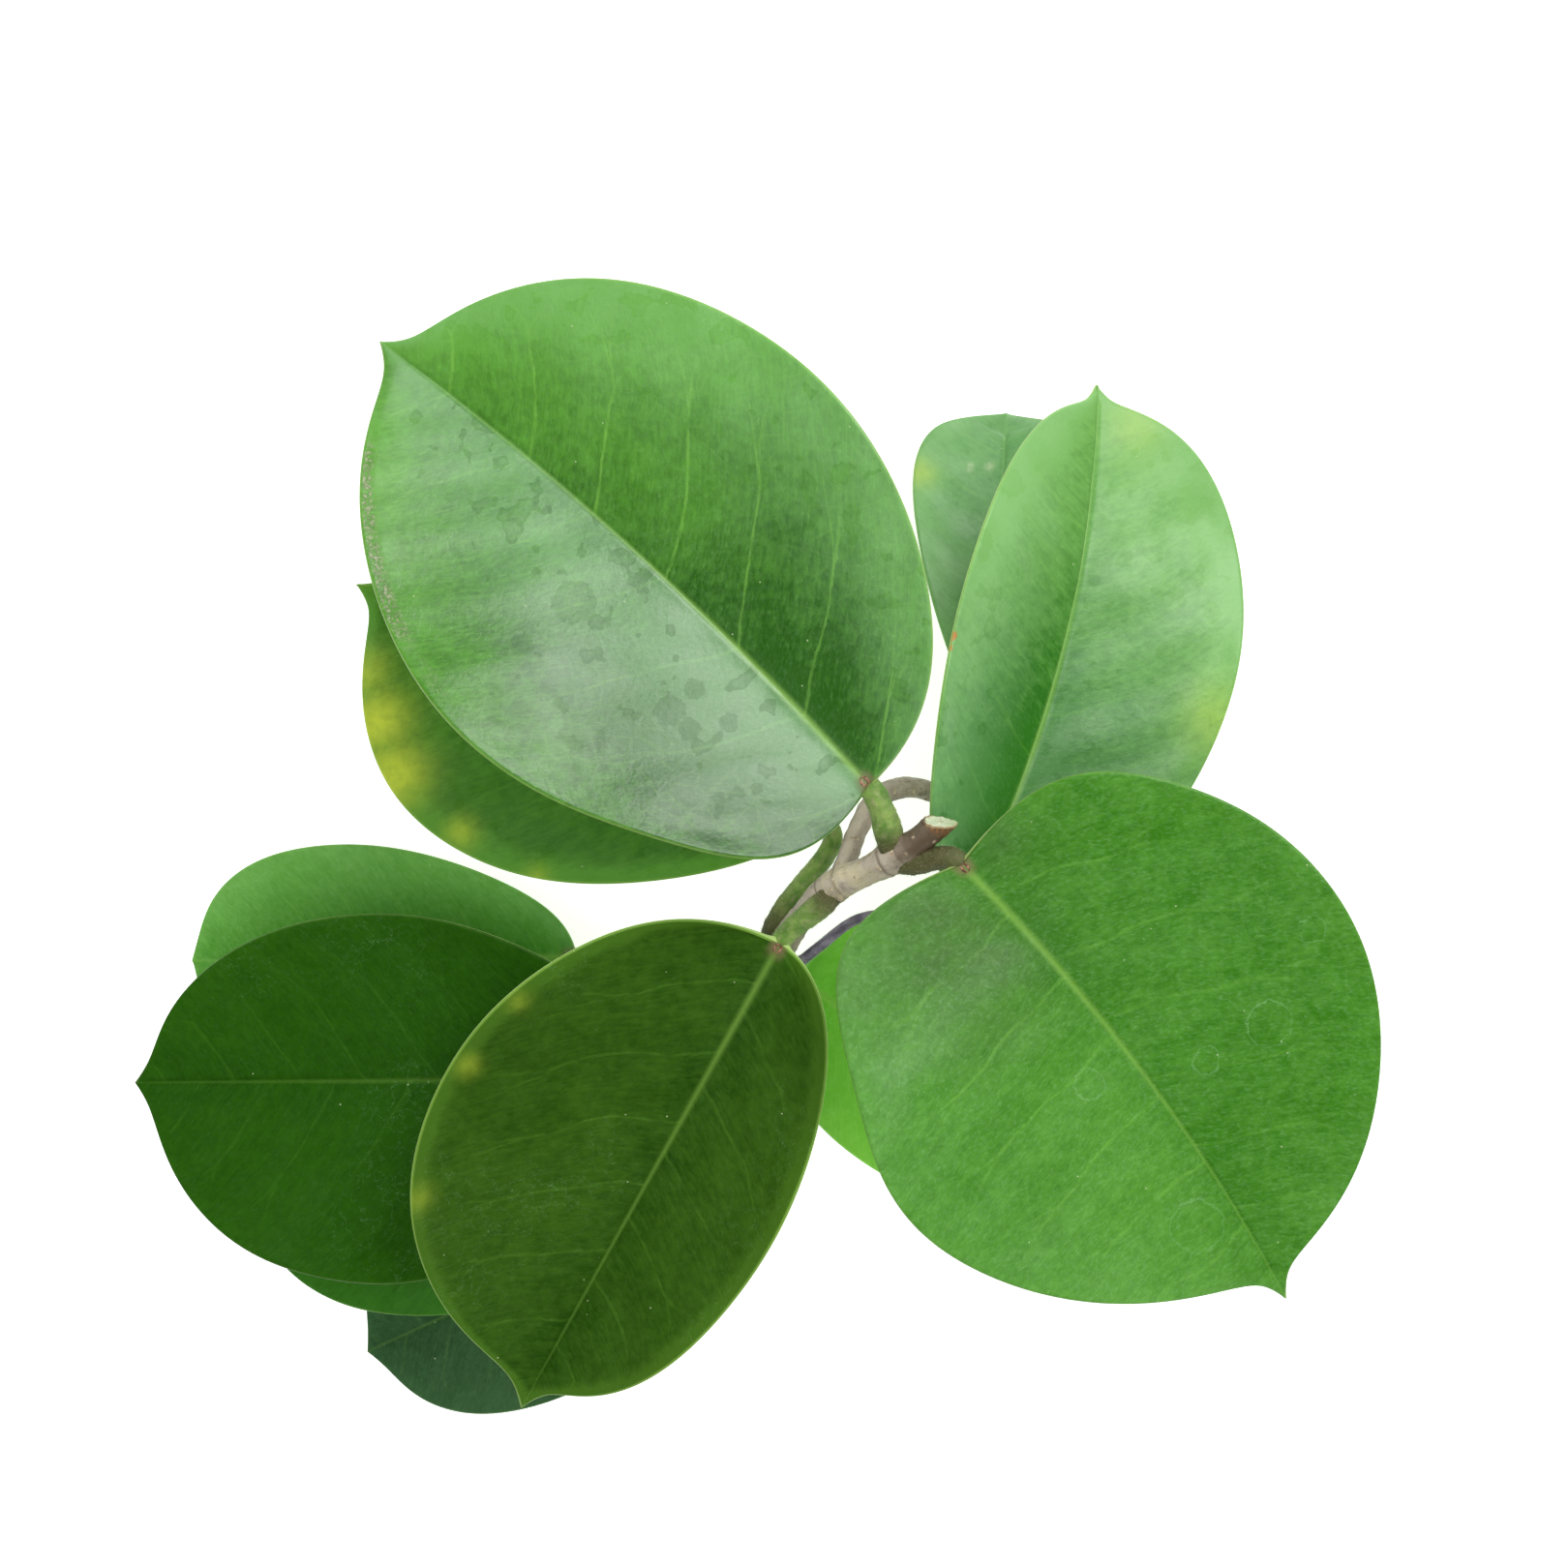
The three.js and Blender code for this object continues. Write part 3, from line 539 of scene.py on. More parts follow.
def leaf_skin(leaf_name, look):
    """Waxed cuticle over green flesh, grown: satin, with pale veins drawn by the blade's rule,
    a painted sheen, and on some leaves painted light at the tip and painted shade at the base.
    """
    leaf = LEAVES[leaf_name]
    length, spacing = leaf["length"], leaf["length"] / VEINS_ON_BLADE
    skin = Recipe("waxed leaf cuticle " + leaf_name[5:].replace("_", " "))
    along, side, margin = skin.kept("lie")
    phase, _, out = skin.kept("veins")
    yellow, scurf, haze = skin.kept("marks")
    brown, pale, _ = skin.kept("spots")
    place = skin.place()
    away = skin("ABSOLUTE", side)
    on_left = skin("ramp", side, -0.8, 0.8)

    # Flesh: deep green, lighter in broad clouds, near the margin and in fine streaks along veins,
    # and darker along the midrib. The lightening near the margin is partly painted sheen, the
    # lightening towards the tip and darkening at the base are painted light and shade, and the left
    # half is made deeper to go under its painted sheen.
    clouds = skin("noise", place, 0.03, 2.0)
    patchwork = skin("noise", place, 0.17, 3.0, 0.6)
    dust = skin("noise", place, 0.13, 4.0, 0.6)
    mottle = skin("noise", place, 0.6, 4.0, 0.65)
    centred = mottle - 0.5
    vein_mm = phase * spacing + centred + clouds * 6.0
    streaks = skin("noise", skin("join", vein_mm, side * 0.18, leaf["phase"]), 1.5, 4.0, 0.7)
    tone = skin("ramp", clouds, 0.35, 0.65, 0.36, 0.5) - on_left * look["left"]
    for cause, low, high, at_low, at_high in (
            (patchwork, 0.3, 0.7, -0.08, 0.08), (margin, 0.0, look["over"], look["margin"], 0.0),
            (along, 0.0, length, -look["tip"], look["tip"]), (streaks, 0.35, 0.65, -0.11, 0.11),
            (mottle, 0.35, 0.65, -0.1, 0.1), (away, 0.0, 9.0, -0.15, 0.0)):
        tone = tone + skin("ramp", cause, low, high, at_low, at_high)
    colour = skin("mix", tone, look["deep"], look["light"])

    # Side veins: the distance to the nearest one, which forks near the margin. A net joins them
    # on the leaves where they are clear enough to see it.
    bends = skin("ramp", skin("noise", place, 0.06, 1.0), 0.3, 0.7, -0.8, 0.8) + centred * 0.5
    to_vein = skin("PINGPONG", phase + bends / spacing, 0.5) * spacing
    fork = skin("ramp", out, 0.55, 1.0, 0.0, 3.8)
    vein_line = skin("ramp", skin("ABSOLUTE", to_vein - fork), 0.06, 0.42, 1.0, 0.0)
    fading = (skin("ramp", out, 0.5, 0.92, look["veins"], 0.0)
              * skin("ramp", on_left, 0, 1, 1.0, 1 - 2 * look["left"]))
    veins = vein_line * fading * skin("ramp", streaks, 0.3, 0.6, 0.25, 1.0)
    if look["veins"] > 0.3:
        to_net = skin("cell edges", place, 0.2) + centred * 0.12
        net = (skin("ramp", to_net, 0.0, 0.035, look["veins"] * 0.25, 0.0)
               * skin("ramp", out, 0.2, 0.6))
        veins = skin("MAXIMUM", veins, net)
    colour = skin("mix", veins * 0.6, colour, "80bc46")

    # Bloom and painted sheen: a thin dusty wax that greys the green, with a pale wash that stands
    # for the light's sheen on the wax. It lies thicker on some parts of a blade.
    left_in, left_out, right_in, right_out = look["bloom"]
    left = skin("ramp", out, 0.05, 0.95, left_in, left_out)
    right = skin("ramp", out, 0.2, 1.0, right_in, right_out)
    bloom = left * on_left + right * skin("SUBTRACT", 1.0, on_left)
    bloom = bloom * skin("ramp", dust, 0.25, 0.75, 0.8, 1.2)
    fine = skin("noise", skin("join", vein_mm, side * 0.5, 3.0), 2.6, 3.0, 0.65)
    bloom = bloom + skin("ramp", fine, 0.42, 0.8, 0.0, look["grain"])
    hazy = haze * skin("ramp", dust, 0.3, 0.7, 0.5, 1.0)
    colour = skin("mix", hazy * 0.8, colour, "405232")

    # Dried drops have lifted the bloom in blots, breaking the painted sheen there, and left faint
    # rings and wavering lines.
    blots = skin("noise", place, 0.24, 2.0, 0.5)
    blot = skin("ramp", blots, 0.6, 0.615) * skin("ramp", blots, 0.64, 0.7, 0.8, 0.5)
    tide = skin("ABSOLUTE", skin("noise", place, 0.33, 4.0, 0.62) - 0.5)
    rings = (skin("ramp", tide, 0.001, 0.007, 0.12, 0.0)
             * skin("ramp", clouds + haze * 0.3, 0.45, 0.6))
    in_plan = skin("times", place, (1, 1, 0))
    for x, y, radius in DROPS.get(leaf_name, []):
        centre = (x + PLAN_TO_ORIGIN[0], y + PLAN_TO_ORIGIN[1], 0.0)
        far = skin("distance", in_plan, centre) + centred * 2.5
        if leaf_name == "leaf_1_left":
            blot = skin("MAXIMUM", blot, skin("ramp", far, radius - 0.25, radius, 0.7, 0.0))
        else:
            rim = skin("ABSOLUTE", far - radius)
            rings = skin("MAXIMUM", skin("ramp", rim, 0.03, 0.2, 0.16, 0.0), rings)
    rings = rings * skin("ramp", dust, 0.35, 0.6, 0.4, 1.0)
    bloom = bloom * skin("ramp", blot, 0.0, 1.0, 1.0, 0.55) + rings

    # Marks of age: yellow patches, rough tan scurf, pale specks and scars, brown dead spots.
    worn = any(leaf_name in PATCHES[kind] for kind in ("scurf", "brown", "pale"))
    crust = skin("noise", place, 1.6, 5.0, 0.75) if worn else mottle
    band = skin("ramp", margin, 0.2, 0.8) * skin("ramp", margin, 1.8, 3.6, 1.0, 0.0)
    crusted = skin("ramp", crust, 0.45, 0.57) * (band * skin("ramp", scurf, 0.1, 0.6))
    specks = node(skin.tree, "ShaderNodeTexVoronoi", {"Vector": place, "Scale": 0.3}).outputs
    chosen = skin("ramp", skin("red", specks["Color"]), 0.5, 0.55)

    # Midrib and margin: soft yellow-green lines. The midrib thins towards the tip.
    from_rib = (away + centred * 0.3) / skin("ramp", along, 0.0, length * 0.9, 0.8, 0.3)
    midrib = (skin("ramp", from_rib, 0.0, 1.5, 1.0, 0.0)
              * skin("ramp", along, 0.0, length, look["midrib"], look["midrib"] / 3))
    # Painted shade at the blade's base, where the petiole tucks under it, in a brown mottled like
    # cork.
    corky = skin("ramp", along, 0.6, 3.0, 0.75, 0.0) * skin("ramp", away, 0.8, 2.2, 1, 0)
    colour = skin.layers(
        # the pale wash is the dusty bloom with its painted sheen
        colour, (bloom, "a6d89e"), (yellow * skin("ramp", mottle, 0.25, 0.65, 0.7, 1.0), "c4d244"),
        (crusted * 0.75, "a5a68a"),
        (skin("ramp", specks["Distance"], 0.02, 0.05, 0.6, 0.0) * chosen, "c3cfa6"),
        (pale * skin("ramp", crust, 0.4, 0.55, 0.3, 1.0), "c9d2ae"),
        (skin("ramp", brown + centred, 0.35, 0.55), skin("mix", crust, "8a4a1c", "c98c4a")),
        (midrib, "90be52"), (skin("ramp", margin, 0.06, 0.32, look["edge"], 0.0), "8cb24e"),
        (corky, skin("mix", crust, "4a3d26", "8b7c5a")))

    rough = skin("ramp", dust, 0.3, 0.7, look["gloss"] - 0.04, look["gloss"] + 0.06)
    rough = rough + crusted * 0.3 + blot * 0.05
    rough = rough + skin("ramp", along, 0.6 * length, length, 0.0, 0.1)
    # A bump works its height out three times, so only what shows as relief is given one.
    heights = [(skin("noise", place, 1.0, 3.0, 0.6), 0.12, 0.6)]
    if leaf_name in PATCHES["scurf"]:
        heights.append((crusted, 0.12, 0.7))
    return skin.finish({
        "Base Color": colour, "Roughness": rough, "Normal": skin.relief(*heights), "IOR": 1.47,
        "Subsurface Weight": 0.08, "Subsurface Radius": (0.6, 1.0, 0.3), "Subsurface Scale": 0.001,
        "Specular IOR Level": 0.12 + 0.38 * look["wax"],
        "Coat Weight": 0.3 * look["wax"], "Coat Roughness": 0.3, "Coat IOR": 1.4,
    })


# %% [markdown]
# ## The underside of a leaf
# Underneath there is hardly any wax and a layer of air in the flesh, so this side is paler, duller
# and a little blue. Its veins are hard to see, and the midrib is a pale rib.

# %% Lower skin
def leaf_underside():
    """Thin matt cuticle over spongy flesh, grown: pale and dull."""
    skin = Recipe("matt leaf underside")
    _, side, margin = skin.kept("lie")
    phase, _, out = skin.kept("veins")
    place = skin.place()
    clouds = skin("noise", place, 0.06, 4.0, 0.6)
    lines = skin("ramp", skin("PINGPONG", phase, 0.5), 0.01, 0.07, 0.3, 0.0)
    colour = skin.layers(
        skin("mix", skin("ramp", clouds, 0.3, 0.7), "7f9d68", "9ab384"),
        (lines * skin("ramp", out, 0.5, 0.9, 1.0, 0.0), "b6c79a"),
        (skin("ramp", skin("ABSOLUTE", side), 0.8, 2.0, 0.7, 0.0), "adbf82"),
        (skin("ramp", margin, 0.1, 0.7, 0.6, 0.0), "a9c666"))
    normal = skin.relief((skin("noise", place, 1.2, 4.0, 0.6), 0.08, 0.5))
    return skin.finish({
        "Base Color": colour, "Roughness": 0.6, "Normal": normal, "IOR": 1.45,
        "Subsurface Weight": 0.1, "Subsurface Radius": (0.6, 1.0, 0.3), "Subsurface Scale": 0.001,
    })


# %% Blades
def patches(kind, leaf_name, lie):
    weight = np.zeros(len(lie))
    for along, out, wide, strength in PATCHES[kind].get(leaf_name, []):
        far = np.hypot(lie[:, 0] - along, lie[:, 1] - out)
        weight = np.maximum(weight, strength * np.exp(-(far / wide) ** 2))
    return weight


underside = leaf_underside()
for leaf_name, leaf in LEAVES.items():
    points, faces, kept, under = blade_net(leaf, VEIN_COURSES.get(leaf_name, PLAIN_COURSE))
    weights = [patches(kind, leaf_name, kept["lie"]) for kind in PATCHES]
    kept["marks"] = np.stack(weights[:3], axis=1)
    kept["spots"] = np.stack([*weights[3:], np.zeros(len(points))], axis=1)
    look = dict(zip(LOOK_MEASURES, LEAF_LOOKS[leaf_name]))
    skins = [leaf_skin(leaf_name, look), underside]
    blade = mesh_piece("blade" + leaf_name[4:], points, faces, kept, skins, under)
    dress(blade, leaf_name)
    print(blade.name, len(faces), "faces")

# %% [markdown]
# ## Tubes
# Stems, petioles and the young shoot are tubes along a smooth line. A curve with a bevel would do
# for a plain tube. These swell at nodes and feet, so each is a net of rings, turned as little as
# possible from one ring to the next so that the skin doesn't twist.

# %% Lines and rings
def smooth_line(stations, per_span):
    """A centripetal spline through the stations, and the share of the way at each of its points."""
    stations = np.asarray(stations, float)
    ends = [2 * stations[0] - stations[1], 2 * stations[-1] - stations[-2]]
    line = np.vstack([ends[0], stations, ends[1]])
    points, shares = [], []
    for i in range(len(stations) - 1):
        p0, p1, p2, p3 = line[i:i + 4]
        d0, d1, d2 = (max(np.linalg.norm(b - a) ** 0.5, 1e-4)
                      for a, b in ((p0, p1), (p1, p2), (p2, p3)))
        m1 = ((p1 - p0) / d0 - (p2 - p0) / (d0 + d1) + (p2 - p1) / d1) * d1
        m2 = ((p2 - p1) / d1 - (p3 - p1) / (d1 + d2) + (p3 - p2) / d2) * d1
        last = i == len(stations) - 2
        for w in np.linspace(0, 1, per_span + 1)[:None if last else -1]:
            cubic = (2 * p1 - 2 * p2 + m1 + m2) * w ** 3 + (3 * p2 - 3 * p1 - 2 * m1 - m2) * w ** 2
            points.append(cubic + m1 * w + p1)
            shares.append(i + w)
    return np.array(points), np.array(shares)


def eased(values, shares):
    values = np.asarray(values, float)
    i = np.minimum(shares.astype(int), len(values) - 2)
    share = smooth(shares - i)
    return values[i] * (1 - share) + values[i + 1] * share


def lengths(centres):
    return np.concatenate([[0], np.cumsum(np.linalg.norm(np.diff(centres, axis=0), axis=1))])


def ring_frames(centres):
    """For each point of a line: the way ahead and two directions across it, without twist."""
    ahead = np.gradient(centres, axis=0)
    ahead /= np.linalg.norm(ahead, axis=1, keepdims=True)
    across = np.cross(ahead[0], (0, 0, 1))
    sides = []
    for way in ahead:
        across = across - way * (across @ way)
        across /= np.linalg.norm(across)
        sides.append(across)
    sides = np.array(sides)
    return ahead, sides, np.cross(ahead, sides)


def ring_quads(rings, sides):
    """Quads between rings of points that are numbered one ring after another."""
    index = np.arange(rings * sides).reshape(rings, sides)
    onward = np.roll(index, -1, axis=1)
    corners = (index[:-1], onward[:-1], onward[1:], index[1:])
    return np.stack([corner.ravel() for corner in corners], axis=1).tolist()


def tube_net(centres, radii, sides, cut=None):
    """Points and faces of a closed tube, and each point's length along and way round, in mm."""
    ahead, first, second = ring_frames(centres)
    angle = np.linspace(0, 2 * np.pi, sides, endpoint=False)
    round_way = first[:, None] * np.cos(angle)[:, None] + second[:, None] * np.sin(angle)[:, None]
    rings = centres[:, None] + round_way * np.asarray(radii)[:, None, None]
    if cut is not None:
        off = (rings[0] - centres[0]) @ cut / (ahead[0] @ cut)
        rings[0] -= off[:, None] * ahead[0]
    count = len(centres)
    points = np.vstack([rings.reshape(-1, 3), centres[:1], centres[-1:]])
    faces = ring_quads(count, sides)
    start, last = count * sides, (count - 1) * sides
    for j in range(sides):
        k = (j + 1) % sides
        faces += [[start, k, j], [start + 1, last + j, last + k]]
    far = np.repeat(lengths(centres), sides)
    way = np.tile(angle, count) * np.repeat(radii, sides)
    kept = np.stack([far, way, np.repeat(np.linspace(0, 1, count), sides)], axis=1)
    kept = np.vstack([kept, [0, 0, 0], [far[-1], 0, 1]])
    return points, faces, kept


# %% [markdown]
# ## Petioles
# The petiole is the leaf's stalk. It swells at its foot, rises from the node, turns over into the
# blade's base and runs on under the midrib. It is thick, olive green, mottled and finely rough,
# with brown where it meets the stem. On the petiole of leaf_1_right, which lies in shade, that
# dark foot reaches most of the way up as painted shade.

# %% Petiole skin
def petiole_skin():
    """Young corky skin over green, grown: dull, mottled olive, scurfy."""
    skin = Recipe("scurfy petiole skin")
    far, way, share = skin.kept("lie")
    place = skin.place()
    clouds = skin("noise", place, 0.45, 4.0, 0.6)
    fibres = skin("noise", skin("join", far * 0.35, way), 1.6, 4.0, 0.6)
    crust = skin("noise", place, 2.4, 5.0, 0.7)
    colour = skin.layers(
        skin("mix", skin("ramp", clouds, 0.35, 0.65), "4f7a28", "7f9c4c"),
        (skin("ramp", fibres, 0.5, 0.7, 0.0, 0.4), "9c9c74"),
        (skin("ramp", crust, 0.54, 0.64, 0.0, 0.6), "8a7f64"),
        # the dark foot; on leaf_1_right's petiole it reaches far up as painted shade
        (skin("ramp", share, 0.12, 0.38, 0.9, 0.0), skin("mix", crust, "33321c", "5c5234")),
        (skin("ramp", share, 0.6, 0.9, 0.0, 0.5), "6c9436"))
    normal = skin.relief((crust, 0.16, 0.8), (fibres, 0.15, 0.6))
    return skin.finish({
        "Base Color": colour, "Roughness": 0.62, "Normal": normal, "IOR": 1.45,
        "Subsurface Weight": 0.05, "Subsurface Radius": (0.6, 0.8, 0.3), "Subsurface Scale": 0.001,
    })


# %% Petioles
def petiole_line(leaf):
    """The stalk's line and radii: a curve from the node to the blade, then the rib under it."""
    start = np.asarray(leaf["node"], float)
    base = middle(leaf, 0, 0)
    inward = direction(leaf["heading"], leaf["pitch"])
    reach = np.linalg.norm(base - start) / 3
    thick = leaf["petiole"]

    def sunk(t, depth):
        return middle(leaf, t, 0) - blade_normal(leaf, t, 0) * depth

    low = sunk(0, thick * 0.75)
    first, second = start + direction(*leaf["out"]) * reach, low - inward * reach
    w = np.linspace(0, 1, 70)[:, None]
    stalk = (1 - w) ** 3 * start + 3 * (1 - w) ** 2 * w * first
    stalk = stalk + 3 * (1 - w) * w ** 2 * second + w ** 3 * low
    rib, _ = smooth_line([low, sunk(0.12, thick * 0.7), sunk(0.24, 0.75)], 12)
    line = np.vstack([stalk, rib[1:]])
    far = lengths(line)
    u = far / far[-1]
    thins_from = 0.8 * far[len(stalk) - 1] / far[-1]
    share = smooth((u - thins_from) / (1 - thins_from))
    foot = smooth((0.25 - u) / 0.25)
    radii = thick * (1 + 0.2 * foot) * (1 - share) + 0.5 * share
    bulge = 0.12 * np.sin(np.pi * np.clip(u / thins_from, 0, 1)) ** 2
    return line, radii * (0.94 + bulge)


petiole_material = petiole_skin()
petioles = []
for leaf_name, leaf in LEAVES.items():
    line, radii = petiole_line(leaf)
    points, faces, kept = tube_net(line, radii, 28)
    centre = np.vstack([np.repeat(line, 28, axis=0), line[:1], line[-1:]])
    outward = points - centre
    lumps = 0.035 * ripple(points, 2.2, 11) + 0.025 * ripple(points, 0.9, 12)
    points = centre + outward * (1 + lumps[:, None])
    # Painted shade: leaf_1_right's petiole lies in shade under its blade, so its share along is cut
    # to a quarter and the dark foot's colour covers most of it.
    kept[:, 2] *= 0.25 if leaf_name == "leaf_1_right" else 1
    petiole = mesh_piece("petiole" + leaf_name[4:], points, faces, {"lie": kept},
                         [petiole_material])
    dress(petiole, leaf_name)
    petioles.append(petiole)
print("petioles:", len(petioles))

# %% [markdown]
# ## The woody stem
# The stem, its side branch and its buds are grown as one, so their parts are merged into one skin.
# A voxel remesh does that: it fills the joined shapes with tiny cubes and skins them. Afterwards
# each point finds the nearest place on the stem's line, so that rings, wrinkles and bark colours
# can follow it.

# %% Parts of the stem
def bud_net(at, out, length, radius, segments=24, rings=16):
    up = direction(*out)
    across = np.cross(up, (0.3, 0.2, 0.9))
    across /= np.linalg.norm(across)
    third = np.cross(up, across)
    heights = -np.cos(np.linspace(0, np.pi, rings + 1))
    angle = np.linspace(0, 2 * np.pi, segments, endpoint=False)
    points = []
    for h in heights:
        round_radius = radius * math.sqrt(max(1 - h * h, 0)) * (1 - 0.25 * max(h, 0))
        ring = np.outer(np.cos(angle), across) + np.outer(np.sin(angle), third)
        points.append(at + up * h * length + ring * round_radius)
    return np.vstack(points), ring_quads(rings + 1, segments)


stem_line, stem_shares = smooth_line(STEM, 20)
branch_line, branch_shares = smooth_line(BRANCH, 20)
stem_radii, branch_radii = eased(STEM_RADII, stem_shares), eased(BRANCH_RADII, branch_shares)
parts = [tube_net(stem_line, stem_radii, 40, CUT_FACES)[:2],
         tube_net(branch_line, branch_radii, 32)[:2]]
parts += [bud_net(*bud) for bud in BUDS]
all_points, all_faces = [], []
for points, faces in parts:
    start = sum(len(p) for p in all_points)
    all_points.append(points)
    all_faces += [[i + start for i in face] for face in faces]
rough_stem = mesh_piece("rough_stem", np.vstack(all_points), all_faces)
print("stem line", round(float(lengths(stem_line)[-1]), 1), "mm")

# %% One skin
VOXEL = 0.2 * MM


def merged(piece, name):
    """The piece remeshed to one skin, lightly smoothed, as a plain mesh of its own."""
    remesh = piece.modifiers.new("one skin", "REMESH")
    remesh.mode, remesh.voxel_size, remesh.use_smooth_shade = "VOXEL", VOXEL, True
    relax = piece.modifiers.new("relax", "SMOOTH")
    relax.factor, relax.iterations = 0.5, 4
    return plain(piece, name)


def mesh_points(piece):
    points = np.empty(len(piece.data.vertices) * 3)
    piece.data.vertices.foreach_get("co", points)
    return points.reshape(-1, 3) / MM - PLAN_TO_ORIGIN


def nearest(points, line):
    """For each point, the nearest of the line's points, and how far away it is."""
    best = np.zeros(len(points), int)
    far = np.full(len(points), np.inf)
    for i, place in enumerate(line):
        d = np.linalg.norm(points - place, axis=1)
        closer = d < far
        best[closer], far[closer] = i, d[closer]
    return best, far


# %% [markdown]
# ## Bark, rings and the fresh cut
# The bark is thin, grey-brown and finely cracked along the stem, with raised rings and old scars at
# the nodes, and a warm brown near the cut. The rings' dark colour also lies round each petiole's
# foot as painted shade, and a painted highlight lightens the side that faces up and a little to the
# upper left. The cut itself is pale, greenish and fibrous inside a thin brown rim. Fine relief goes
# into the mesh first, because its outline shows, and the rest is left to the material.

# %% Bark
def bark_skin():
    """Thin cork over green, grown: dull grey-brown with long fine cracks, a painted highlight on
    the side that faces up and painted shade round the petioles' feet; the cut is pale wood.
    """
    skin = Recipe("thin grey bark")
    far, way, ring = skin.kept("lie")
    cut, radial, along_cut = skin.kept("cut")
    warm, green, painted_highlight = skin.kept("tones")
    place = skin.place()
    clouds = skin("noise", place, 0.3, 4.0, 0.6)
    cracks = skin("noise", skin("join", far * 0.25, way), 1.9, 5.0, 0.65)
    fine = skin("noise", place, 2.6, 5.0, 0.7)
    fibres = skin("noise", place, 3.2, 5.0, 0.75)
    edge = radial + skin("ramp", fibres, 0.3, 0.7, -0.06, 0.06)
    wood = skin.layers(
        skin("mix", skin("ramp", fibres, 0.35, 0.65), "a9b98c", "d3d9bd"),
        (skin("ramp", along_cut, 0.6, 2.4, 0.0, 0.6), "9db37a"),
        (skin("ramp", edge, 0.84, 0.93, 0.0, 0.85), "8f6c44"),
        (skin("ramp", along_cut, -2.5, -1.9, 1.0, 0.0), "4a2c18"),
        (skin("ramp", radial, 0.1, 0.22, 0.5, 0.0), "a89a68"))
    colour = skin.layers(
        skin("mix", skin("ramp", clouds, 0.35, 0.65), "93897a", "b8ad9c"),
        (skin("ramp", cracks, 0.55, 0.68, 0.0, 0.75), "5b4f3c"),
        (skin("ramp", fine, 0.5, 0.7, 0.0, 0.4), "c0b59b"), (warm * 0.92, "4c3a26"),
        # painted highlight: lighter on the side that faces up, fainter on the warm stub
        (painted_highlight * skin("ramp", warm, 0, 1, 0.5, 0.1), "c9bcaa"),
        (green * skin("ramp", clouds, 0.42, 0.6, 0.0, 0.35), "a39c62"),
        (skin("ramp", far, 0.2, 1.6, 0.7, 0.0) * skin("ramp", fine, 0.4, 0.6), "9c6a34"),
        # the rings' dark colour, laid round each petiole's foot too as painted shade
        (ring * 0.7, "4e3f2c"), (cut, wood))
    return skin.finish({
        "Base Color": colour, "Roughness": skin("ramp", warm, 0.0, 1.0, 0.5, 0.38),
        "Normal": skin.relief((cracks, -0.22, 0.8), (fine, 0.1, 0.7)), "IOR": 1.5,
    })


# %% Stem relief
vine = merged(rough_stem, "vine_skin")
points = mesh_points(vine)
lines = [(stem_line, stem_radii), (branch_line, branch_radii)]
found = [nearest(points, line) for line, _ in lines]
depth = np.stack([far - radii[best] for (best, far), (_, radii) in zip(found, lines)])
on_branch = depth[1] < depth[0] - 0.15
far_along, way_round, outward = np.zeros(len(points)), np.zeros(len(points)), np.zeros_like(points)
for k, (line, radii) in enumerate(lines):
    best = found[k][0]
    chosen = on_branch if k else ~on_branch
    _, first, second = ring_frames(line)
    away = points - line[best]
    a, b = (away * first[best]).sum(1), (away * second[best]).sum(1)
    far_along[chosen] = lengths(line)[best][chosen] + 200 * k
    way_round[chosen] = (np.arctan2(b, a) * radii[best])[chosen]
    level = first[best] * a[:, None] + second[best] * b[:, None]
    level /= np.maximum(np.linalg.norm(level, axis=1, keepdims=True), 1e-9)
    outward[chosen] = level[chosen]
cut_height = (points - stem_line[0]) @ CUT_FACES
near_cut = np.linalg.norm(points - stem_line[0], axis=1) < 5
on_cut = near_cut & (np.abs(cut_height) < 0.22)
node_places = [lengths(stem_line)[20 * i] for i in (2, 4, 6, 8, 10, 12)]
node_places += [200 + lengths(branch_line)[20 * 7]]
ring = np.zeros(len(points))
for place in node_places:
    for off, strength in ((-1.6, 0.8), (1.5, 1.0)):
        ring = np.maximum(ring, strength * np.exp(-((far_along - place - off) / 0.28) ** 2))
long_way = np.stack([far_along * 0.3, way_round, 0 * far_along], axis=1)
relief = 0.05 * ripple(long_way, 1.6, 21, 12) + 0.04 * ripple(points, 1.3, 22, 12) - 0.1 * ring
relief = np.where(on_cut, 0, relief)
points = points + outward * relief[:, None]
roughness = 0.07 * ripple(points, 0.8, 23, 16) * on_cut
points = points + CUT_FACES * roughness[:, None]
placed = ((points + PLAN_TO_ORIGIN) * MM).astype(np.float32)
vine.data.vertices.foreach_set("co", placed.ravel())
warm = smooth((11 - far_along) / 6) * ~on_branch + 0.25 * on_branch
# Painted highlight: the side that faces up and a little to the upper left is lighter.
painted_highlight = smooth((outward @ np.array([-0.4, 0.3, 0.87]) - 0.7) / 0.3)
green = smooth((far_along - 10) / 4) * smooth((24 - far_along) / 4) * ~on_branch
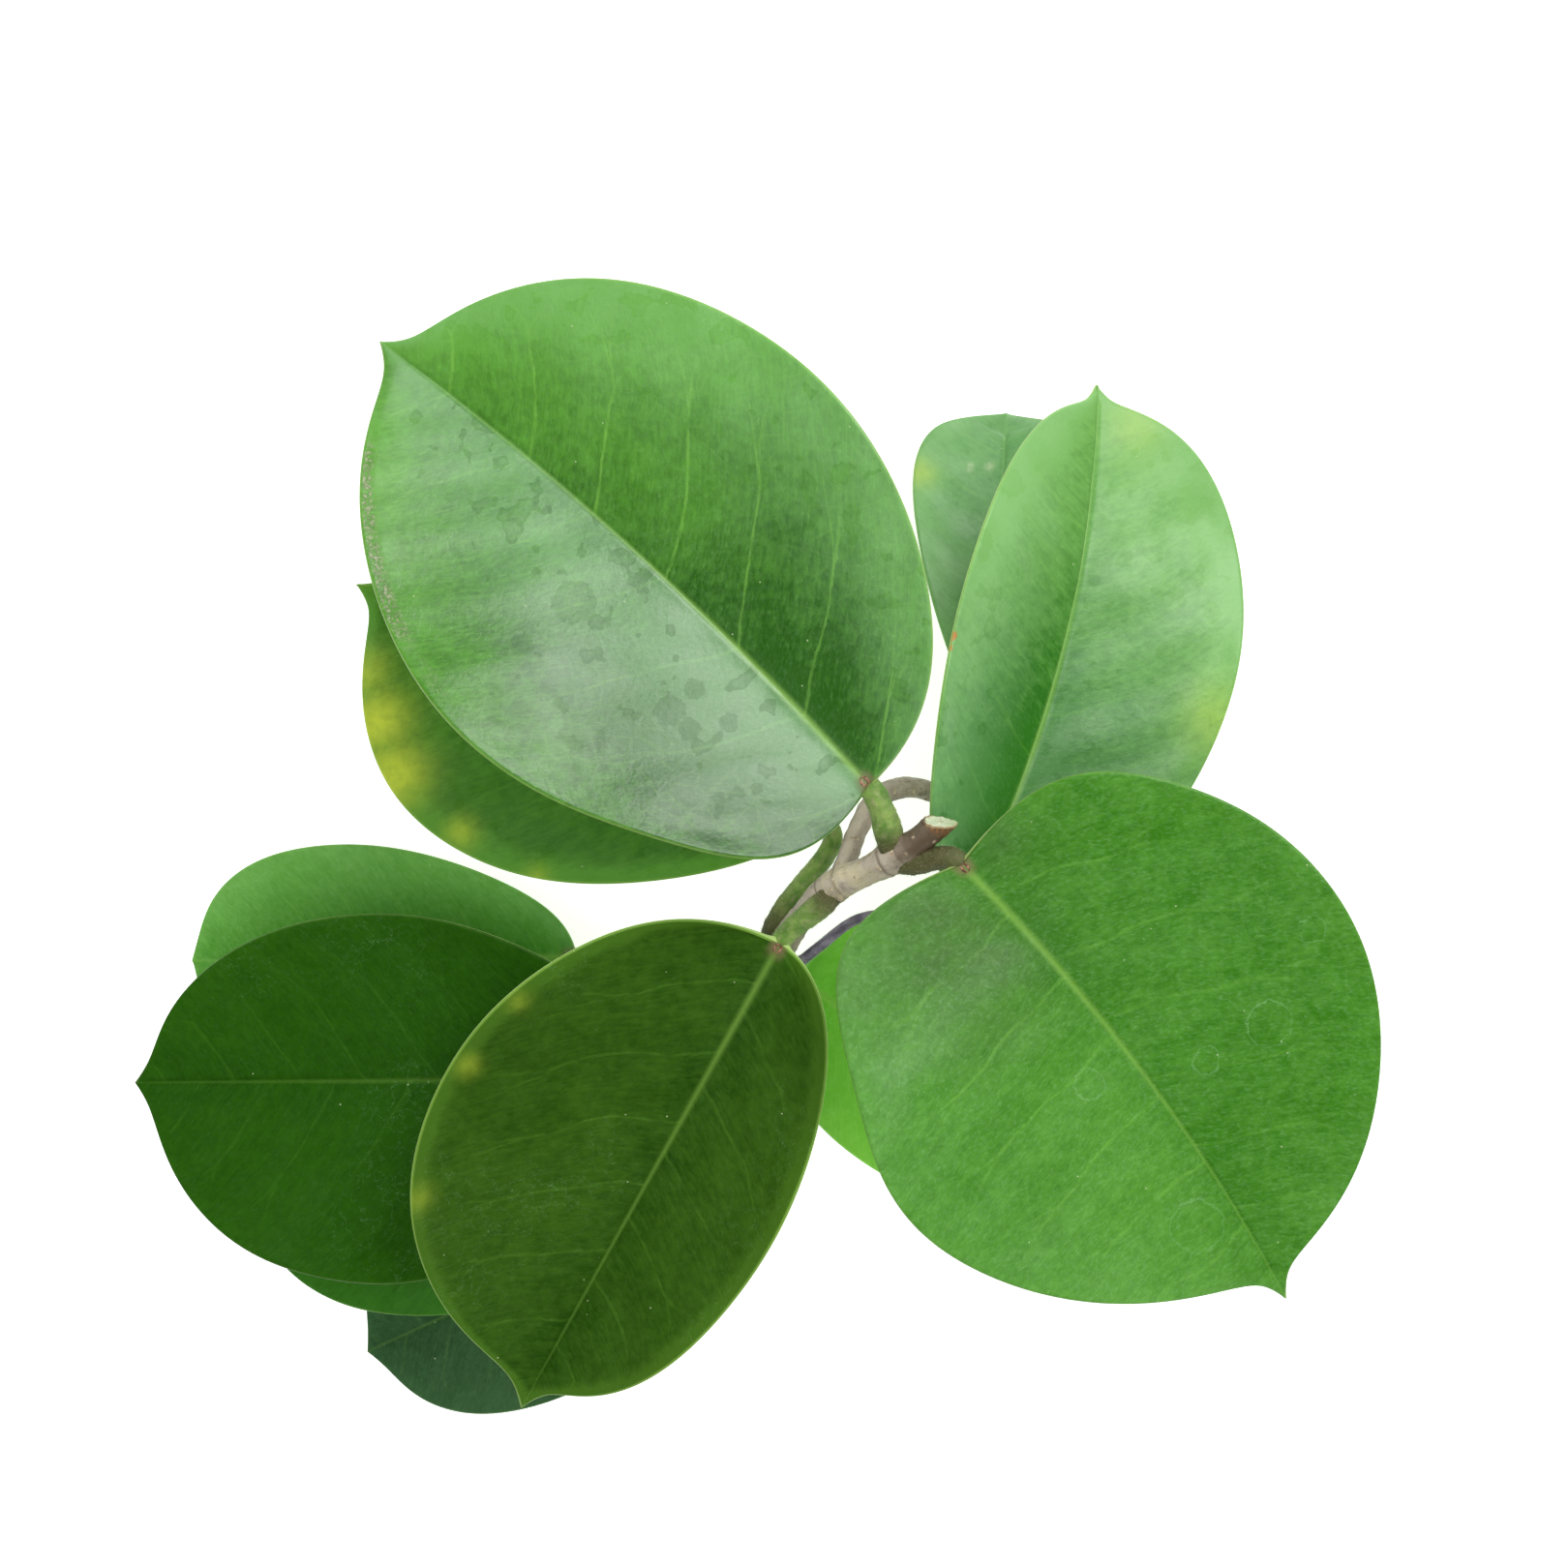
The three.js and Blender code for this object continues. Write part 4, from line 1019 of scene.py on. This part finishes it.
# Painted shade: the rings' dark colour is also laid round each petiole's foot, where it meets the
# stem.
dark = ring.copy()
for leaf in LEAVES.values():
    foot = np.asarray(leaf["node"]) + direction(*leaf["out"]) * 2.4
    dark = np.maximum(dark, np.exp(-(np.linalg.norm(points - foot, axis=1) / 2.0) ** 2))
axis = ring_frames(stem_line)[0][0]
from_end = points - stem_line[0]
off_axis = from_end - np.outer(from_end @ axis, axis)
radial = np.linalg.norm(off_axis, axis=1) / STEM_RADII[0]
kept = {"lie": (far_along, way_round, dark), "cut": (on_cut * 1.0, radial, from_end[:, 0]),
        "tones": (warm, green, painted_highlight)}
keep(vine.data, {label: np.stack(values, axis=1) for label, values in kept.items()})
vine.data.materials.clear()
vine.data.materials.append(bark_skin())
vine.data.update()
dress(vine, "vine_stem")
print("stem skin:", len(vine.data.polygons), "faces")

# %% [markdown]
# ## The young shoot
# A thin new shoot, still purple-grey and downy, crosses in front of the stem. It has no leaves yet.

# %% Shoot
def shoot_skin():
    """Soft young skin with purple pigment, grown: dull, finely downy."""
    skin = Recipe("downy purple shoot skin")
    far, way, share = skin.kept("lie")
    place = skin.place()
    clouds = skin("noise", place, 0.5, 4.0, 0.6)
    fine = skin("noise", place, 2.8, 5.0, 0.7)
    ridges = skin("noise", skin("join", far * 0.06, way, 1.0), 1.6, 2.0)
    colour = skin.layers(
        skin("mix", skin("ramp", clouds, 0.35, 0.65), "565060", "7d7884"),
        (skin("ramp", share, 0.0, 0.25, 0.5, 0.0), "6e6a4c"),
        (skin("ramp", fine, 0.5, 0.7, 0.0, 0.5), "a39ca6"),
        (skin("ramp", ridges, 0.5, 0.62, 0.0, 0.7), "38333f"))
    normal = skin.relief((fine, 0.08, 0.7), (ridges, -0.2, 0.8))
    return skin.finish({"Base Color": colour, "Roughness": 0.65, "Normal": normal, "IOR": 1.45})


line, shares = smooth_line(SHOOT, 16)
radii = eased(SHOOT_RADII, shares)
radii[-6:] *= np.sqrt(np.linspace(1, 0.05, 6))
points, faces, kept = tube_net(line, radii, 24)
shoot = mesh_piece("shoot_skin", points, faces, {"lie": kept}, [shoot_skin()])
dress(shoot, "young_shoot")
print("shoot:", len(faces), "faces")

# %% [markdown]
# ## Small parts that repeat
# Down on the petioles and the shoot, breathing pores on the bark and the two-lipped glands at the
# blades' bases are the same few shapes many times over. They could be set by hand or drawn as hair
# curves. Geometry Nodes scatter them here, because density, size and lean then stay a few named
# numbers. The result is realized to a plain mesh.

# %% Node trees
def group(name, inputs):
    """A Geometry Nodes group with named inputs; returns it, its input node and its sockets."""
    tree = bpy.data.node_groups.new(name, "GeometryNodeTree")
    sockets = {}
    for label, kind in inputs.items():
        socket = tree.interface.new_socket(label, in_out="INPUT", socket_type="NodeSocket" + kind)
        sockets[label] = socket.identifier
    tree.interface.new_socket("Shapes", in_out="OUTPUT", socket_type="NodeSocketGeometry")
    return tree, node(tree, "NodeGroupInput").outputs, sockets


def end_group(tree, given, points, shape, rotation, scale):
    """Sets the shape on the points, makes it real, gives it its material and hands it out."""
    placed = node(tree, "GeometryNodeInstanceOnPoints", {
        "Points": points, "Instance": shape, "Rotation": rotation, "Scale": scale})
    real = node(tree, "GeometryNodeRealizeInstances", {"Geometry": placed.outputs[0]})
    painted = node(tree, "GeometryNodeSetMaterial", {
        "Geometry": real.outputs[0], "Material": given["Material"]})
    node(tree, "NodeGroupOutput", {"Shapes": painted.outputs[0]})


def scatter_group():
    tree, given, sockets = group("scatter over a skin", {
        "Skin": "Geometry", "Shape": "Object", "Material": "Material", "Density per mm2": "Float",
        "Smallest": "Float", "Largest": "Float", "Lean": "Float", "Seed": "Int"})
    per_area = node(tree, "ShaderNodeMath", {0: given["Density per mm2"], 1: 1e6},
                    operation="MULTIPLY")
    spread = node(tree, "GeometryNodeDistributePointsOnFaces", {
        "Mesh": given["Skin"], "Density": per_area.outputs[0], "Seed": given["Seed"]})
    least = node(tree, "ShaderNodeMath", {0: given["Lean"], 1: -1.0}, operation="MULTIPLY")
    low = node(tree, "ShaderNodeCombineXYZ", {0: least.outputs[0], 1: least.outputs[0], 2: 0.0})
    high = node(tree, "ShaderNodeCombineXYZ", {0: given["Lean"], 1: given["Lean"], 2: 6.283})
    lean = node(tree, "FunctionNodeRandomValue", {
        0: low.outputs[0], 1: high.outputs[0], "Seed": given["Seed"]}, data_type="FLOAT_VECTOR")
    turned = node(tree, "FunctionNodeEulerToRotation", {0: lean.outputs[0]})
    rotation = node(tree, "FunctionNodeRotateRotation", {
        0: spread.outputs["Rotation"], 1: turned.outputs[0]}, rotation_space="LOCAL")
    size = node(tree, "FunctionNodeRandomValue", {
        2: given["Smallest"], 3: given["Largest"], "Seed": given["Seed"]}, data_type="FLOAT")
    shape = node(tree, "GeometryNodeObjectInfo", {"Object": given["Shape"]})
    end_group(tree, given, spread.outputs["Points"], shape.outputs["Geometry"],
              rotation.outputs[0], size.outputs[1])
    return tree, sockets


def place_group():
    tree, given, sockets = group("set on marked points", {
        "Points": "Geometry", "Shape": "Object", "Material": "Material"})
    up, facing = (node(tree, "GeometryNodeInputNamedAttribute", {"Name": label},
                       data_type="FLOAT_VECTOR").outputs[0] for label in ("up", "facing"))
    upright = node(tree, "FunctionNodeAlignRotationToVector", {"Vector": up}, axis="Z")
    turned = node(tree, "FunctionNodeAlignRotationToVector", {
        "Rotation": upright.outputs[0], "Vector": facing}, axis="X", pivot_axis="Z")
    size = node(tree, "GeometryNodeInputNamedAttribute", {"Name": "size"},
                data_type="FLOAT_VECTOR")
    shape = node(tree, "GeometryNodeObjectInfo", {"Object": given["Shape"]})
    end_group(tree, given, given["Points"], shape.outputs["Geometry"], turned.outputs[0],
              size.outputs[0])
    return tree, sockets


def grown(name, on, made, values):
    """Runs a group on a copy of a piece, with its inputs set, and keeps the result as a mesh."""
    tree, sockets = made
    carrier = linked(name + "_carrier", on.data)
    modifier = carrier.modifiers.new(name, "NODES")
    modifier.node_group = tree
    for label, value in values.items():
        modifier[sockets[label]] = value
    piece = plain(carrier, name)
    piece.data.shade_smooth()
    print(name, len(piece.data.polygons), "faces")
    return piece


scatter, place_on = scatter_group(), place_group()

# %% Shapes to repeat
def shape_piece(name, points, faces):
    """A small shape round the origin, in metres, that is only copied from."""
    mesh = bpy.data.meshes.new(name)
    mesh.from_pydata((np.asarray(points) * MM).tolist(), [], faces)
    mesh.shade_smooth()
    return linked(name, mesh)


def hair_shape(length=0.42, radius=0.026):
    points = []
    for height, across in ((-0.05, 1), (0.5, 0.7), (1, 0.12)):
        for k in range(3):
            a = 2 * math.pi * k / 3
            points.append((radius * across * math.cos(a) + 0.3 * length * height ** 2,
                           radius * across * math.sin(a), length * height))
    return shape_piece("hair", points, ring_quads(3, 3) + [[6, 7, 8]])


def pore_shape():
    points = []
    for height, across in ((-0.06, 0.3), (0.02, 0.24), (0.05, 0.14)):
        for k in range(8):
            a = 2 * math.pi * k / 8
            points.append((1.5 * across * math.cos(a), across * math.sin(a), height))
    return shape_piece("pore", points, ring_quads(3, 8) + [list(range(16, 24))])


def gland_shape():
    """Two swollen lips, side by side along the midrib."""
    points, faces = [], []
    for way in (-1, 1):
        start = len(points)
        for a in np.linspace(-1.35, 1.35, 7):
            centre = np.array([0.85 * math.sin(a), way * (0.52 * math.cos(a) - 0.04), 0.1])
            thick = 0.08 + 0.16 * math.cos(a)
            for k in range(4):
                b = math.pi / 4 + way * math.pi * k / 2
                spoke = np.array([0, math.cos(b), 1.3 * math.sin(b)])
                points.append(centre + thick * spoke)
        faces += [[start + i for i in face] for face in ring_quads(7, 4)]
        faces += [[start + i for i in (3, 2, 1, 0)], [start + 24 + i for i in range(4)]]
    return shape_piece("gland", points, faces)


shapes = [hair_shape(), pore_shape(), gland_shape()]
print("shapes:", [(shape.name, len(shape.data.polygons)) for shape in shapes])

# %% Down, pores and glands
def plain_skin(name, first, second, per_mm, rough):
    """A dull grown surface of two mottled colours."""
    skin = Recipe(name)
    mottle = skin("noise", skin.place(), per_mm, 4.0, 0.65)
    colour = skin("mix", skin("ramp", mottle, 0.4, 0.6), first, second)
    return skin.finish({"Base Color": colour, "Roughness": rough, "IOR": 1.45})


hair, pore, gland = shapes
down = plain_skin("short grey-green down", "8f9a6e", "b3ae8e", 0.8, 0.8)
purple_down = plain_skin("short grey down", "8c8590", "b5afb6", 0.8, 0.8)
for petiole in petioles:
    hairs = grown(petiole.name.replace("petiole", "down"), petiole, scatter, {
        "Shape": hair, "Material": down, "Density per mm2": 5.0, "Smallest": 0.5, "Largest": 1.0,
        "Lean": 0.6, "Seed": 7})
    dress(hairs, None)
hairs = grown("down_shoot", shoot, scatter, {
    "Shape": hair, "Material": purple_down, "Density per mm2": 9.0, "Smallest": 0.4,
    "Largest": 0.9, "Lean": 0.6, "Seed": 9})
dress(hairs, None)
pores = grown("pores_stem", vine, scatter, {
    "Shape": pore, "Material": plain_skin("corky pores", "b9ad92", "8a7860", 1.2, 0.85),
    "Density per mm2": 0.12, "Smallest": 0.5, "Largest": 1.1, "Lean": 0.0, "Seed": 5})
dress(pores, None)

marks = {"place": [], "up": [], "facing": [], "size": []}
for leaf in LEAVES.values():
    ahead = middle(leaf, 0.08, 0) - middle(leaf, 0.04, 0)
    up = blade_normal(leaf, 0.05, 0)
    marks["place"].append(middle(leaf, 0.055, 0) + up * 0.75)
    marks["up"].append(up)
    marks["facing"].append(ahead / np.linalg.norm(ahead))
    marks["size"].append(np.full(3, 0.55 + leaf["length"] / 220))
gland_points = mesh_piece("gland_points", marks.pop("place"), [], marks)
glands = grown("glands", gland_points, place_on, {
    "Shape": gland, "Material": plain_skin("red-brown gland skin", "5c3426", "a67c64", 2.2, 0.6)})
dress(glands, None)
for helper in (*shapes, gland_points):
    bpy.data.objects.remove(helper)

# %% [markdown]
# ## Floor, light and camera
# The cutting lies on a plain near-white sheet, lit from below so that it stays pale under the
# leaves. One big soft light stands high at the upper right, so that its reflection lies on the
# left half of the largest leaf as a broad sheen. A wide second light and an even pale world fill
# the shadows. Neither of them is reflected, because a second sheen would wash out the dark leaves.
# The camera looks straight down from three quarters of a metre.

# %% Floor
floor_mesh = bpy.data.meshes.new("floor")
floor_mesh.from_pydata([(-3, -3, 0), (3, -3, 0), (3, 3, 0), (-3, 3, 0)], [], [(0, 1, 2, 3)])
floor = linked("floor", floor_mesh)
floor.location.z = -0.0002
sheet = Recipe("matt white acrylic, lit from below")
floor_mesh.materials.append(sheet.finish({
    "Base Color": "f2f2f0", "Roughness": 0.9, "Emission Strength": 0.7,
    "Emission Color": "ffffff",
}))

# %% Light
world = bpy.data.worlds.new("studio")
world.use_nodes = True
background = world.node_tree.nodes["Background"].inputs
background["Color"].default_value = hex_colour("ffffff")
background["Strength"].default_value = 0.4
world.cycles_visibility.glossy = False
bpy.context.scene.world = world


def soft_light(name, plan, off_zenith, distance, size, watts, shows=True):
    lamp = bpy.data.lights.new(name, "AREA")
    lamp.shape, lamp.size, lamp.energy = "DISK", size, watts
    holder = linked(name, lamp)
    way = Vector(direction(plan, 90 - off_zenith))
    holder.location = Vector((0.0, 0.02, 0.03)) + way * distance
    holder.visible_glossy = shows
    holder.rotation_euler = way.to_track_quat("Z", "Y").to_euler()


soft_light("main softbox", 51, 36, 0.8, 0.46, 4.6)
soft_light("fill that makes no highlights", 230, 15, 1.3, 1.0, 9.0, shows=False)

# %% Camera
camera_data = bpy.data.cameras.new("camera")
camera_data.sensor_width = 36
camera_data.lens = 108.89
camera = linked("camera", camera_data)
camera.location = (PLAN_TO_ORIGIN[0] * MM, PLAN_TO_ORIGIN[1] * MM, 0.740)
bpy.context.scene.camera = camera
bpy.context.scene.view_settings.view_transform = "Standard"
